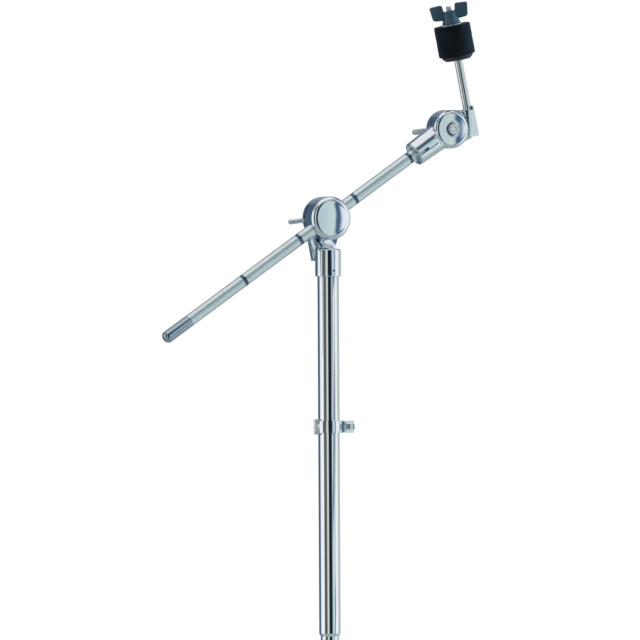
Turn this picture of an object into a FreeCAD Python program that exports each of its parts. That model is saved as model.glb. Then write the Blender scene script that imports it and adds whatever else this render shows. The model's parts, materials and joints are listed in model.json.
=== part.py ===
import FreeCAD, Part
import os
import Sketcher
from FreeCAD import Placement, Rotation, Vector

# Cymbal boom arm: a down tube carries a tilter, the tilter clamps a knurled boom rod, and a small
# cymbal tilter at the rod's end carries the spindle, its felts and the wing nut.
# Z is up, X points to the cymbal, the tilters' axes lie along Y and their T-handles are on +Y.
# The origin is on the tube's axis, where its full diameter starts above the swaged end.

os.makedirs("parts", exist_ok=True)
doc = FreeCAD.newDocument("cymbal_boom_arm")
sheet = doc.addObject("Spreadsheet::Sheet", "dim")

sizes = {
    # down tube, with the swaged end that plugs into the stand below
    "tubeRadius": 11.1, "tubeWall": 1.6, "tubeLength": 390.7,
    "swageRadius": 9.5, "swageTaper": 3.0, "swageLength": 9.0,
    # clearances: a shaft in its hole, a loose hole, faces that turn on each other
    "runningFit": 0.05, "looseFit": 0.1, "faceGap": 0.1,
    # tilter base: the socket pinned on the tube, the neck and the fixed disc
    "tubeInsertion": 22.0, "socketWall": 2.3, "socketHeight": 28.5, "socketRound": 2.0,
    "neckRise": 9.1, "neckTopInset": 5.5, "neckFootInset": 1.9, "neckSlope": 12.4,
    "neckLap": 4.5, "neckInset": 0.6, "ribHalf": 7.0, "ribReach": 4.0, "ribDrop": 1.9,
    "discRadius": 22.5, "discThickness": 6.4, "discRound": 3.0,
    "pinRadius": 2.0, "pinBore": 1.2, "pinHeight": 6.0, "pinSunk": 0.4,
    # clamp rotor: the turning half of the tilter, which the rod passes through
    "eyeProud": 0.5, "rotorCover": 3.0, "rimRound": 6.0, "faceRise": 1.5,
    "frictionThickness": 1.0, "frictionInset": 2.5, "frictionLap": 1.5,
    "eyeWall": 2.6, "eyeWidth": 8.0, "eyeGap": 0.4, "shankRadius": 4.0,
    "washerRadius": 8.6, "washerThickness": 1.4,
    # T-handles
    "hubRadius": 8.0, "hubLength": 14.0, "barInset": 5.0, "barRadius": 2.6,
    "barLength": 64.0, "barDip": 6.8, "barWeb": 0.8, "barFlat": 0.8,
    "headHubLength": 12.0, "headBarLength": 60.0,
    # boom rod
    "boomAngle": 33.25, "rodRadius": 6.35, "rodWall": 2.2, "rodRear": 192.0,
    "capLength": 34.5, "capFlat": 1.55, "spigotLength": 12.0, "bandPitch": 76.6,
    "bandFirst": 117.4, "bandWidth": 4.0, "bandDepth": 0.2,
    # cymbal tilter: the socket half on the rod and the half with the spindle's lug
    "headReach": 168.0, "headRadius": 20.0, "headFront": 11.0, "headBack": 1.0,
    "headRimRound": 5.0, "headFaceRise": 1.0, "headDiscThickness": 10.9,
    "headSocketLength": 27.4, "headSocketWall": 6.5, "headSocketFlare": 1.1, "socketRoot": 7.0,
    "headSweepGap": 0.6, "rodStop": 1.0, "slitWidth": 2.2, "slitLength": 13.0,
    "keyScrewRadius": 3.0, "keyScrewInset": 7.5, "keyHeadHalf": 3.0, "keyHeadLength": 5.0,
    "keyTipGap": 0.35,
    "boltHeadRadius": 5.8, "boltHeadRise": 2.0, "boltSeatDepth": 2.0, "boltSeatRadius": 7.3,
    # spindle and its lug
    "spindleLean": 11.4, "spindleClear": 5.1, "spindleSide": 3.0,
    "lugWallX": 1.4, "lugWallY": 2.3, "lugBottom": 7.5, "lugTop": 20.3, "lipHeight": 3.6,
    "lipThickness": 2.2, "lugRound": 2.0, "webDrop": 2.0, "webAngle": 49.9,
    "spindleRadius": 4.2, "spigotDepth": 18.0, "shoulderHeight": 73.5,
    "threadRadius": 3.0, "threadSunk": 8.0, "spindleHeight": 130.2,
    # cymbal seat
    "seatRadius": 16.2, "seatInset": 3.2, "seatThickness": 4.7, "seatFlange": 1.6,
    "feltRadius": 19.1, "lowerFelt": 16.4, "upperFelt": 15.5, "feltRound": 1.2,
    "sleeveGap": 0.4, "sleeveWall": 1.6, "topWasherRadius": 12.0, "topWasherThickness": 1.2,
    "nutHubRadius": 9.3, "nutHubHeight": 13.6, "nutCone": 2.6,
    "wingInner": 5.6, "wingOuter": 20.0, "wingLow": 4.2, "wingHigh": 20.8,
    "wingStep": 1.8, "wingTaper": 1.5, "wingDrop": 1.0, "wingThickness": 4.6, "wingTurn": 25.0,
    # memory lock
    "lockHeight": 213.4, "lockTall": 12.6, "lockWall": 2.1, "knuckleTall": 16.0,
    "knuckleRadius": 3.0, "knuckleBore": 1.5, "knuckleGap": 0.15, "leafLap": 0.8,
    "leafReach": 4.8, "earBeyond": 3.9, "earThickness": 3.9, "earGap": 1.2, "keyBoltOut": 9.85,
    "keyBoltRadius": 2.5, "keyBoltHead": 4.5, "keyBoltSquare": 5.5, "lockNutSquare": 8.0,
    "lockNutThickness": 4.0,
    # broken edges, and how far a cut runs past what it cuts
    "edgeBreak": 0.6, "tubeBreak": 0.8, "cutMargin": 1.0,
}

# Sizes that follow from others, so that what fits together stays together
tied = {
    "socketRadius": "tubeRadius + socketWall",
    "neckHeight": "discRadius + neckRise", "neckTopHalf": "discRadius - neckTopInset",
    "neckFootHalf": "socketRadius - neckFootInset", "neckTopDrop": "discRadius - neckLap",
    "ribTop": "discRadius + ribDrop",
    "rotorBack": "rodRadius + runningFit + eyeWall - eyeProud",
    "rotorFront": "rodRadius + runningFit + eyeWall + rotorCover",
    "frictionRadius": "discRadius - frictionInset",
    "frictionBore": "rodRadius + runningFit + eyeWall + frictionLap",
    "barRound": "barRadius - barFlat", "capRound": "rodRadius - capFlat",
    "headSocketRadius": "rodRadius + runningFit + headSocketWall",
    "spindleOffset": "headRadius + spindleClear",
    "lugHalfX": "spindleRadius + lugWallX", "lugHalfY": "spindleRadius + lugWallY",
    "webSide": "headRadius * cos(webAngle * 1deg)", "webFoot": "headRadius * sin(webAngle * 1deg)",
    "sleeveRadius": "threadRadius + sleeveGap + sleeveWall",
    "keyBoltPlace": "tubeRadius + runningFit + lockWall + keyBoltOut",
    "earEnd": "keyBoltPlace + earBeyond",
}
cells = {alias: str(number) for alias, number in sizes.items()}
cells.update({alias: "=" + formula for alias, formula in tied.items()})
for row, (alias, content) in enumerate(cells.items(), start=1):
    sheet.set("A%d" % row, alias)
    sheet.set("B%d" % row, content)
    sheet.setAlias("B%d" % row, alias)
doc.recompute()

# Places that follow from the sizes
socketBottom = "(dim.tubeLength - dim.tubeInsertion)"
socketTop = "(dim.tubeLength - dim.tubeInsertion + dim.socketHeight)"
tilterHeight = "(dim.tubeLength - dim.tubeInsertion + dim.socketHeight + dim.neckHeight)"
discFront = "(dim.rotorBack + dim.faceGap + dim.frictionThickness)"
discBack = "(dim.rotorBack + dim.faceGap + dim.frictionThickness + dim.discThickness)"
hubStart = "(%s + dim.washerThickness + dim.faceGap)" % discBack
barPlace = "(%s + dim.hubLength - dim.barInset)" % hubStart
rodBore = "(dim.rodRadius + dim.runningFit)"
eyeRadius = "(dim.rodRadius + dim.runningFit + dim.eyeWall)"
headDiscFront = "(dim.headBack + dim.faceGap + dim.frictionThickness)"
headDiscBack = "(%s + dim.headDiscThickness)" % headDiscFront
headHubStart = "(%s + dim.washerThickness + dim.faceGap)" % headDiscBack
headBarPlace = "(%s + dim.headHubLength - dim.barInset)" % headHubStart
sweepRadius = "(dim.headRadius + dim.headSweepGap)"
socketEnd = "(%s + dim.headSocketLength)" % sweepRadius
headX = "dim.headReach * cos(dim.boomAngle * 1deg)"
headZ = "(%s + dim.headReach * sin(dim.boomAngle * 1deg))" % tilterHeight
seatTop = "(dim.shoulderHeight + dim.seatThickness)"
feltTop = "(%s + dim.lowerFelt + dim.upperFelt)" % seatTop
nutFoot = "(%s + dim.topWasherThickness)" % feltTop
lockBore = "(dim.tubeRadius + dim.runningFit)"
lockOuter = "(dim.tubeRadius + dim.runningFit + dim.lockWall)"
hingePlace = "(%s + dim.knuckleRadius)" % lockBore

parts = []


def value(expression):
    """The number that an expression gives with the sheet's present sizes."""
    result = sheet.evalExpression(str(expression))
    return float(getattr(result, "Value", result))


def newBody(name):
    body = doc.addObject("PartDesign::Body", name)
    body.Label = name
    parts.append(body)
    doc.recompute()
    return body


def newSketch(body, plane):
    sketch = body.newObject("Sketcher::SketchObject", body.Name + "_sketch")
    support = [item for item in body.Origin.OriginFeatures if item.Role == plane][0]
    sketch.AttachmentSupport = (support, [""])
    sketch.MapMode = "FlatFace"
    return sketch


def pinPoint(sketch, geometry, end, x, y):
    """Fix one point of a sketch at two expressions from the sketch's origin."""
    for kind, place in (("DistanceX", x), ("DistanceY", y)):
        index = sketch.addConstraint(Sketcher.Constraint(kind, -1, 1, geometry, end, value(place)))
        sketch.setExpression("Constraints[%d]" % index, str(place))


def outline(body, plane, points, dome=None):
    """A closed outline; the side that starts at corner number dome is an arc centred on the V axis."""
    sketch = newSketch(body, plane)
    corners = [Vector(value(x), value(y), 0) for x, y in points]
    starts, ends = [], []
    for number, start in enumerate(corners):
        end = corners[(number + 1) % len(corners)]
        if number == dome:
            rise, reach = start.y - end.y, max(start.x, end.x)
            radius = (reach ** 2 + rise ** 2) / (2 * abs(rise))
            crown = start if start.x < end.x else end
            rim = end if start.x < end.x else start
            centreY = crown.y + (radius if rim.y > crown.y else -radius)
            middle = (crown + rim) / 2 - Vector(0, centreY, 0)
            middle = middle.normalize() * radius + Vector(0, centreY, 0)
            arc = Part.Arc(start, middle, end)
            sketch.addGeometry(arc, False)
            placed = sketch.Geometry[number]
            forward = placed.StartPoint.distanceToPoint(start) < placed.StartPoint.distanceToPoint(end)
            starts.append(1 if forward else 2)
            ends.append(2 if forward else 1)
        else:
            sketch.addGeometry(Part.LineSegment(start, end), False)
            starts.append(1)
            ends.append(2)
    for number in range(len(corners)):
        following = (number + 1) % len(corners)
        joined = Sketcher.Constraint("Coincident", number, ends[number], following, starts[following])
        sketch.addConstraint(joined)
        pinPoint(sketch, number, starts[number], *points[number])
    if dome is not None:
        sketch.addConstraint(Sketcher.Constraint("PointOnObject", dome, 3, -2))
    return sketch


def circleSketch(body, plane, x, y, radius):
    sketch = newSketch(body, plane)
    centre = Vector(value(x), value(y), 0)
    sketch.addGeometry(Part.Circle(centre, Vector(0, 0, 1), value(radius)), False)
    pinPoint(sketch, 0, 3, x, y)
    index = sketch.addConstraint(Sketcher.Constraint("Radius", 0, value(radius)))
    sketch.setExpression("Constraints[%d]" % index, str(radius))
    return sketch


def revolve(body, sketch, axis, kind="Revolution"):
    feature = body.newObject("PartDesign::" + kind, body.Name + "_" + kind.lower())
    feature.Profile = sketch
    feature.ReferenceAxis = (sketch, [axis])
    feature.Angle = 360
    sketch.Visibility = False
    return feature


def turned(name, plane, axis, points, dome=None):
    """A turned piece: an outline spun about one axis of its sketch."""
    body = newBody(name)
    revolve(body, outline(body, plane, points, dome), axis)
    doc.recompute()
    return body


def pad(body, sketch, start, length, towards):
    """Thicken a sketch; towards is +1 along its plane's normal and -1 against it."""
    sketch.setExpression(".AttachmentOffset.Base.z", start)
    feature = body.newObject("PartDesign::Pad", body.Name + "_pad")
    feature.Profile = sketch
    feature.setExpression("Length", length)
    feature.Reversed = towards < 0
    doc.recompute()
    return feature


def pocket(body, sketch, start, length, towards):
    """Cut a sketch away; towards is +1 along its plane's normal and -1 against it."""
    before = body.Shape.Volume
    sketch.setExpression(".AttachmentOffset.Base.z", start)
    feature = body.newObject("PartDesign::Pocket", body.Name + "_pocket")
    feature.Profile = sketch
    feature.setExpression("Length", length)
    feature.Reversed = towards > 0
    doc.recompute()
    assert body.Shape.Volume < before, "%s: a pocket cut nothing" % body.Name
    return feature


def grooved(body, plane, axis, points):
    """Turn a groove or a bore into a body."""
    before = body.Shape.Volume
    revolve(body, outline(body, plane, points), axis, "Groove")
    doc.recompute()
    assert body.Shape.Volume < before, "%s: a groove cut nothing" % body.Name


def dress(body, kind, size, wanted):
    """Fillet or chamfer the edges that the function wanted picks out."""
    base = body.Tip
    names = ["Edge%d" % (n + 1) for n, edge in enumerate(base.Shape.Edges) if wanted(edge)]
    assert names, "%s: no edge to dress" % body.Name
    feature = body.newObject("PartDesign::" + kind, body.Name + "_" + kind.lower())
    feature.Base = (base, names)
    feature.setExpression("Radius" if kind == "Fillet" else "Size", size)
    doc.recompute()
    return feature


def ringEdge(radius, axis, height):
    """Picks the round edge of this radius at this height along the named axis."""
    def wanted(edge):
        box = edge.BoundBox
        lengths = {"x": box.XLength, "y": box.YLength, "z": box.ZLength}
        across = [length for name, length in lengths.items() if name != axis]
        flat = lengths[axis] < 1e-3 and abs(getattr(box.Center, axis) - value(height)) < 1e-3
        return flat and all(abs(length - 2 * value(radius)) < 2e-3 for length in across)
    return wanted


def place(body, x, y, z, turn=None):
    """Put a body where it belongs; turn is an expression in degrees about Y."""
    if turn is not None:
        body.Placement = Placement(Vector(0, 0, 0), Rotation(Vector(0, 1, 0), 10))
        body.setExpression(".Placement.Rotation.Angle", turn)
    for axis, where in (("x", x), ("y", y), ("z", z)):
        body.setExpression(".Placement.Base." + axis, where)
    doc.recompute()


boomTurn = "-dim.boomAngle * 1deg"
leanTurn = "-dim.spindleLean * 1deg"


def placeOnBoom(body):
    """Local X runs up the boom, from the main tilter's centre."""
    place(body, "0", "0", tilterHeight, boomTurn)


def placeOnHead(body):
    """Local X runs up the boom, from the cymbal tilter's centre."""
    place(body, headX, "0", headZ, boomTurn)


def placeOnSpindle(body):
    """Local Z runs up the spindle, from level with the cymbal tilter's axis."""
    place(body, headX + " + dim.spindleOffset", "-dim.spindleSide", headZ, leanTurn)


# ---- down tube and tilter base -------------------------------------------------------------

def makeDownTube():
    swageFoot = "-(dim.swageTaper + dim.swageLength)"
    tube = turned("down_tube", "XZ_Plane", "V_Axis", [
        ("dim.tubeRadius - dim.tubeWall", "0"),
        ("dim.tubeRadius - dim.tubeWall", "dim.tubeLength"),
        ("dim.tubeRadius", "dim.tubeLength"),
        ("dim.tubeRadius", "0"),
        ("dim.swageRadius", "-dim.swageTaper"),
        ("dim.swageRadius", swageFoot),
        ("dim.swageRadius - dim.tubeWall", swageFoot),
        ("dim.swageRadius - dim.tubeWall", "-dim.swageTaper")])
    hole = circleSketch(tube, "XZ_Plane", "0", socketBottom + " + dim.pinHeight", "dim.pinRadius")
    pocket(tube, hole, "-2 * dim.tubeRadius", "4 * dim.tubeRadius", 1)
    dress(tube, "Chamfer", "dim.tubeBreak", ringEdge("dim.tubeRadius", "z", "dim.tubeLength"))


def makeTilterBase():
    base = turned("tilter_base", "XZ_Plane", "V_Axis", [
        ("0", socketBottom), ("dim.socketRadius", socketBottom),
        ("dim.socketRadius", socketTop), ("0", socketTop)])
    dress(base, "Fillet", "dim.socketRound", ringEdge("dim.socketRadius", "z", socketTop))
    dress(base, "Chamfer", "dim.edgeBreak", ringEdge("dim.socketRadius", "z", socketBottom))
    disc = circleSketch(base, "XZ_Plane", "0", tilterHeight, "dim.discRadius")
    pad(base, disc, "-" + discBack, "dim.discThickness", 1)
    dress(base, "Fillet", "dim.discRound", ringEdge("dim.discRadius", "y", discBack))
    neckFoot = "(%s - dim.neckSlope)" % socketTop
    neck = outline(base, "XZ_Plane", [
        ("-dim.neckFootHalf", neckFoot), ("dim.neckFootHalf", neckFoot),
        ("dim.neckTopHalf", tilterHeight + " - dim.neckTopDrop"),
        ("-dim.neckTopHalf", tilterHeight + " - dim.neckTopDrop")])
    pad(base, neck, "dim.neckInset - " + discBack, "dim.discThickness - dim.neckInset", 1)
    # below the socket's rounded top, the neck's foot blends round to the socket's sides
    gusset = outline(base, "XY_Plane", [
        ("dim.edgeBreak - dim.socketRadius", "0"), ("dim.socketRadius - dim.edgeBreak", "0"),
        ("dim.neckFootHalf", discBack + " - dim.cutMargin"),
        ("-dim.neckFootHalf", discBack + " - dim.cutMargin")])
    pad(base, gusset, neckFoot, "dim.neckSlope - dim.socketRound", 1)
    rib = outline(base, "YZ_Plane", [
        ("-dim.ribReach", socketTop + " - dim.cutMargin"),
        (discBack + " - dim.cutMargin", socketTop + " - dim.cutMargin"),
        (discBack + " - dim.cutMargin", tilterHeight + " - dim.ribTop"),
        (discFront, tilterHeight + " - dim.ribTop")])
    pad(base, rib, "-dim.ribHalf", "2 * dim.ribHalf", 1)
    bore = circleSketch(base, "XY_Plane", "0", "0", "dim.tubeRadius")
    pocket(base, bore, socketBottom + " - dim.cutMargin", "dim.tubeInsertion + dim.cutMargin", 1)
    shank = circleSketch(base, "XZ_Plane", "0", tilterHeight, "dim.shankRadius + dim.looseFit")
    pocket(base, shank, "-%s - dim.cutMargin" % discBack, "dim.discThickness + 2 * dim.cutMargin", 1)
    pin = circleSketch(base, "XZ_Plane", "0", socketBottom + " + dim.pinHeight", "dim.pinRadius")
    pocket(base, pin, "-2 * dim.socketRadius", "4 * dim.socketRadius", 1)


def makeSocketPin():
    reach = "(dim.socketRadius - dim.pinSunk)"
    pin = turned("socket_pin", "XY_Plane", "V_Axis", [
        ("dim.pinBore", "-" + reach), ("dim.pinRadius", "-" + reach),
        ("dim.pinRadius", reach), ("dim.pinBore", reach)])
    place(pin, "0", "0", socketBottom + " + dim.pinHeight")


# ---- main tilter ---------------------------------------------------------------------------

def makeClampRotor():
    rim = "(dim.discRadius - dim.rimRound)"
    rotor = turned("clamp_rotor", "XY_Plane", "V_Axis", [
        ("0", "-dim.rotorFront - dim.faceRise"), (rim, "-dim.rotorFront"),
        (rim, "-dim.rotorFront + dim.rimRound"),
        ("dim.discRadius", "-dim.rotorFront + dim.rimRound"),
        ("dim.discRadius", "dim.rotorBack"), ("0", "dim.rotorBack")], dome=0)
    # the rolled rim is a quarter torus round the face
    ring = circleSketch(rotor, "XY_Plane", rim, "-dim.rotorFront + dim.rimRound", "dim.rimRound")
    revolve(rotor, ring, "V_Axis")
    doc.recompute()
    dress(rotor, "Chamfer", "dim.edgeBreak", ringEdge("dim.discRadius", "y", "dim.rotorBack"))
    bore = circleSketch(rotor, "YZ_Plane", "0", "0", rodBore)
    pocket(rotor, bore, "-2 * dim.discRadius", "4 * dim.discRadius", 1)
    nest = circleSketch(rotor, "YZ_Plane", "0", "0", eyeRadius + " + dim.eyeGap")
    nestHalf = "(dim.eyeWidth / 2 + dim.eyeGap)"
    pocket(rotor, nest, "-" + nestHalf, "2 * " + nestHalf, 1)
    nestSide = "(%s + dim.eyeGap)" % eyeRadius
    mouth = outline(rotor, "YZ_Plane", [
        ("0", "-" + nestSide), ("dim.rotorBack + dim.cutMargin", "-" + nestSide),
        ("dim.rotorBack + dim.cutMargin", nestSide), ("0", nestSide)])
    pocket(rotor, mouth, "-" + nestHalf, "2 * " + nestHalf, 1)
    placeOnBoom(rotor)


def makeEyeBolt():
    eye = turned("eye_bolt", "XY_Plane", "H_Axis", [
        ("-dim.eyeWidth / 2", "0"), ("-dim.eyeWidth / 2", eyeRadius),
        ("dim.eyeWidth / 2", eyeRadius), ("dim.eyeWidth / 2", "0")])
    shank = circleSketch(eye, "XZ_Plane", "0", "0", "dim.shankRadius")
    shankEnd = "(%s - dim.barRadius - dim.barWeb)" % barPlace
    pad(eye, shank, "-" + shankEnd, shankEnd, 1)
    grooved(eye, "XY_Plane", "H_Axis", [
        ("-dim.eyeWidth", "0"), ("-dim.eyeWidth", rodBore),
        ("dim.eyeWidth", rodBore), ("dim.eyeWidth", "0")])
    placeOnBoom(eye)


def makeRing(name, inner, outer, start, thickness):
    """A flat ring about the Y axis."""
    end = "%s + %s" % (start, thickness)
    return turned(name, "XY_Plane", "V_Axis", [
        (inner, start), (outer, start), (outer, end), (inner, end)])


def makeHandle(prefix, start, length, barAt, barLength, boltEnd):
    """A T-handle: a hub that screws on the bolt and a bar through its outer end."""
    hub = turned(prefix + "_handle_hub", "XY_Plane", "V_Axis", [
        ("0", start), ("dim.hubRadius", start), ("dim.hubRadius", "%s + %s" % (start, length)),
        ("0", "%s + %s" % (start, length))])
    for end in (start, "%s + %s" % (start, length)):
        dress(hub, "Fillet", "2 * dim.edgeBreak", ringEdge("dim.hubRadius", "y", end))
    thread = circleSketch(hub, "XZ_Plane", "0", "0", "dim.shankRadius + dim.looseFit")
    pocket(hub, thread, "-(%s + dim.looseFit)" % boltEnd, "%s - %s + dim.cutMargin" % (boltEnd, start),
           1)
    cross = circleSketch(hub, "YZ_Plane", barAt, "0", "dim.barRadius")
    pocket(hub, cross, "-2 * dim.hubRadius", "4 * dim.hubRadius", 1)
    half = "(%s / 2)" % barLength
    bar = turned(prefix + "_handle_bar", "XY_Plane", "H_Axis", [
        ("-" + half, "0"), ("-" + half, "dim.barRadius"), (half, "dim.barRadius"), (half, "0")])
    for end in (half, "-" + half):
        dress(bar, "Fillet", "dim.barRound", ringEdge("dim.barRadius", "x", end))
    return hub, bar


def makeTilterHardware():
    friction = makeRing("friction_washer", "dim.frictionBore", "dim.frictionRadius",
                        "(dim.rotorBack + dim.faceGap)", "dim.frictionThickness")
    washer = makeRing("tilter_washer", "dim.shankRadius + dim.looseFit", "dim.washerRadius",
                      discBack, "dim.washerThickness")
    boltEnd = "(%s - dim.barRadius - dim.barWeb)" % barPlace
    hub, bar = makeHandle("tilter", hubStart, "dim.hubLength", barPlace, "dim.barLength", boltEnd)
    for piece in (friction, washer):
        place(piece, "0", "0", tilterHeight)
    place(hub, "0", "0", tilterHeight, "-dim.barDip * 1deg")
    place(bar, "0", barPlace, tilterHeight, "-dim.barDip * 1deg")


# ---- boom rod ------------------------------------------------------------------------------

rodEnd = "(dim.headReach - %s - dim.rodStop)" % sweepRadius


def makeBoomRod():
    rod = turned("boom_rod", "XY_Plane", "H_Axis", [
        ("-dim.rodRear", "dim.rodRadius - dim.rodWall"), ("-dim.rodRear", "dim.rodRadius"),
        (rodEnd, "dim.rodRadius"), (rodEnd, "dim.rodRadius - dim.rodWall")])
    grooved(rod, "XY_Plane", "H_Axis", [
        ("-dim.bandFirst - dim.bandWidth / 2", "dim.rodRadius - dim.bandDepth"),
        ("-dim.bandFirst + dim.bandWidth / 2", "dim.rodRadius - dim.bandDepth"),
        ("-dim.bandFirst + dim.bandWidth / 2", "dim.rodRadius + dim.cutMargin"),
        ("-dim.bandFirst - dim.bandWidth / 2", "dim.rodRadius + dim.cutMargin")])
    groove = rod.Tip
    pattern = rod.newObject("PartDesign::LinearPattern", "rod_bands")
    pattern.Originals = [groove]
    pattern.Direction = (groove.Profile[0], ["H_Axis"])
    pattern.setExpression("Length", "3 * dim.bandPitch")
    pattern.Occurrences = 4
    rod.Tip = pattern
    doc.recompute()
    placeOnBoom(rod)


def makeEndCap():
    tip = "(-dim.rodRear - dim.capLength)"
    spigot = "(dim.rodRadius - dim.rodWall)"
    cap = turned("boom_end_cap", "XY_Plane", "H_Axis", [
        (tip, "0"), (tip, "dim.rodRadius"), ("-dim.rodRear", "dim.rodRadius"),
        ("-dim.rodRear", spigot), ("-dim.rodRear + dim.spigotLength", spigot),
        ("-dim.rodRear + dim.spigotLength", "0")])
    dress(cap, "Fillet", "dim.capRound", ringEdge("dim.rodRadius", "x", tip))
    dress(cap, "Chamfer", "0.5 * dim.edgeBreak", ringEdge("dim.rodRadius", "x", "-dim.rodRear"))
    placeOnBoom(cap)


# ---- cymbal tilter -------------------------------------------------------------------------

def makeHeadSocket():
    end = "-" + socketEnd
    inner = "(dim.headRadius - dim.socketRoot)"
    head = turned("head_socket", "XY_Plane", "V_Axis", [
        ("0", headDiscFront), ("dim.headRadius", headDiscFront), ("dim.headRadius", headDiscBack),
        ("0", headDiscBack)])
    dress(head, "Fillet", "dim.discRound", ringEdge("dim.headRadius", "y", headDiscBack))
    revolve(head, outline(head, "XY_Plane", [
        (end, "0"), (end, "dim.headSocketRadius"),
        ("-" + inner, "dim.headSocketRadius + dim.headSocketFlare"), ("-" + inner, "0")]), "H_Axis")
    doc.recompute()
    dress(head, "Fillet", "2 * dim.edgeBreak", ringEdge("dim.headSocketRadius", "x", end))
    sweep = circleSketch(head, "XZ_Plane", "0", "0", sweepRadius)
    pocket(head, sweep, "-" + headDiscFront, "2 * dim.headRadius", 1)
    grooved(head, "XY_Plane", "H_Axis", [
        (end + " - dim.cutMargin", "0"), (end + " - dim.cutMargin", rodBore),
        ("-" + sweepRadius, rodBore),
        ("-" + sweepRadius, "0")])
    bolt = circleSketch(head, "XZ_Plane", "0", "0", "dim.shankRadius + dim.looseFit")
    pocket(head, bolt, "-%s - dim.cutMargin" % headDiscBack,
           "dim.headDiscThickness + 2 * dim.cutMargin", 1)
    slit = outline(head, "XZ_Plane", [
        (end + " - dim.cutMargin", "-dim.slitWidth / 2"),
        (end + " + dim.slitLength", "-dim.slitWidth / 2"),
        (end + " + dim.slitLength", "dim.slitWidth / 2"),
        (end + " - dim.cutMargin", "dim.slitWidth / 2")])
    pocket(head, slit, "0", "2 * dim.headSocketRadius", 1)
    screw = circleSketch(head, "XZ_Plane", end + " + dim.keyScrewInset", "0",
                         "dim.keyScrewRadius + dim.looseFit")
    pocket(head, screw, "-2 * dim.headSocketRadius", "2 * dim.headSocketRadius", 1)
    placeOnHead(head)


def makeHeadKeyScrew():
    x = "(dim.keyScrewInset - %s)" % socketEnd
    screw = newBody("head_key_screw")
    tip = "(dim.rodRadius + dim.keyTipGap)"
    headFoot = "(dim.headSocketRadius + dim.headSocketFlare + dim.faceGap)"
    stem = circleSketch(screw, "XZ_Plane", x, "0", "dim.keyScrewRadius")
    pad(screw, stem, "-" + headFoot, "%s - %s" % (headFoot, tip), 1)
    square = outline(screw, "XZ_Plane", [
        (x + " - dim.keyHeadHalf", "-dim.keyHeadHalf"), (x + " + dim.keyHeadHalf", "-dim.keyHeadHalf"),
        (x + " + dim.keyHeadHalf", "dim.keyHeadHalf"), (x + " - dim.keyHeadHalf", "dim.keyHeadHalf")])
    pad(screw, square, "-%s - dim.keyHeadLength" % headFoot, "dim.keyHeadLength", 1)
    placeOnHead(screw)


def makeHeadBolt():
    seat = "(-dim.headFront - dim.headFaceRise + dim.boltSeatDepth)"
    boltEnd = "(%s - dim.barRadius - dim.barWeb)" % headBarPlace
    crown = "(%s - dim.boltSeatDepth - dim.boltHeadRise)" % seat
    bolt = turned("head_bolt", "XY_Plane", "V_Axis", [
        ("0", crown), ("dim.boltHeadRadius", crown), ("dim.boltHeadRadius", seat),
        ("dim.shankRadius", seat), ("dim.shankRadius", boltEnd), ("0", boltEnd)])
    dress(bolt, "Fillet", "1.5 * dim.edgeBreak", ringEdge("dim.boltHeadRadius", "y", crown))
    place(bolt, headX, "0", headZ)


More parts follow.
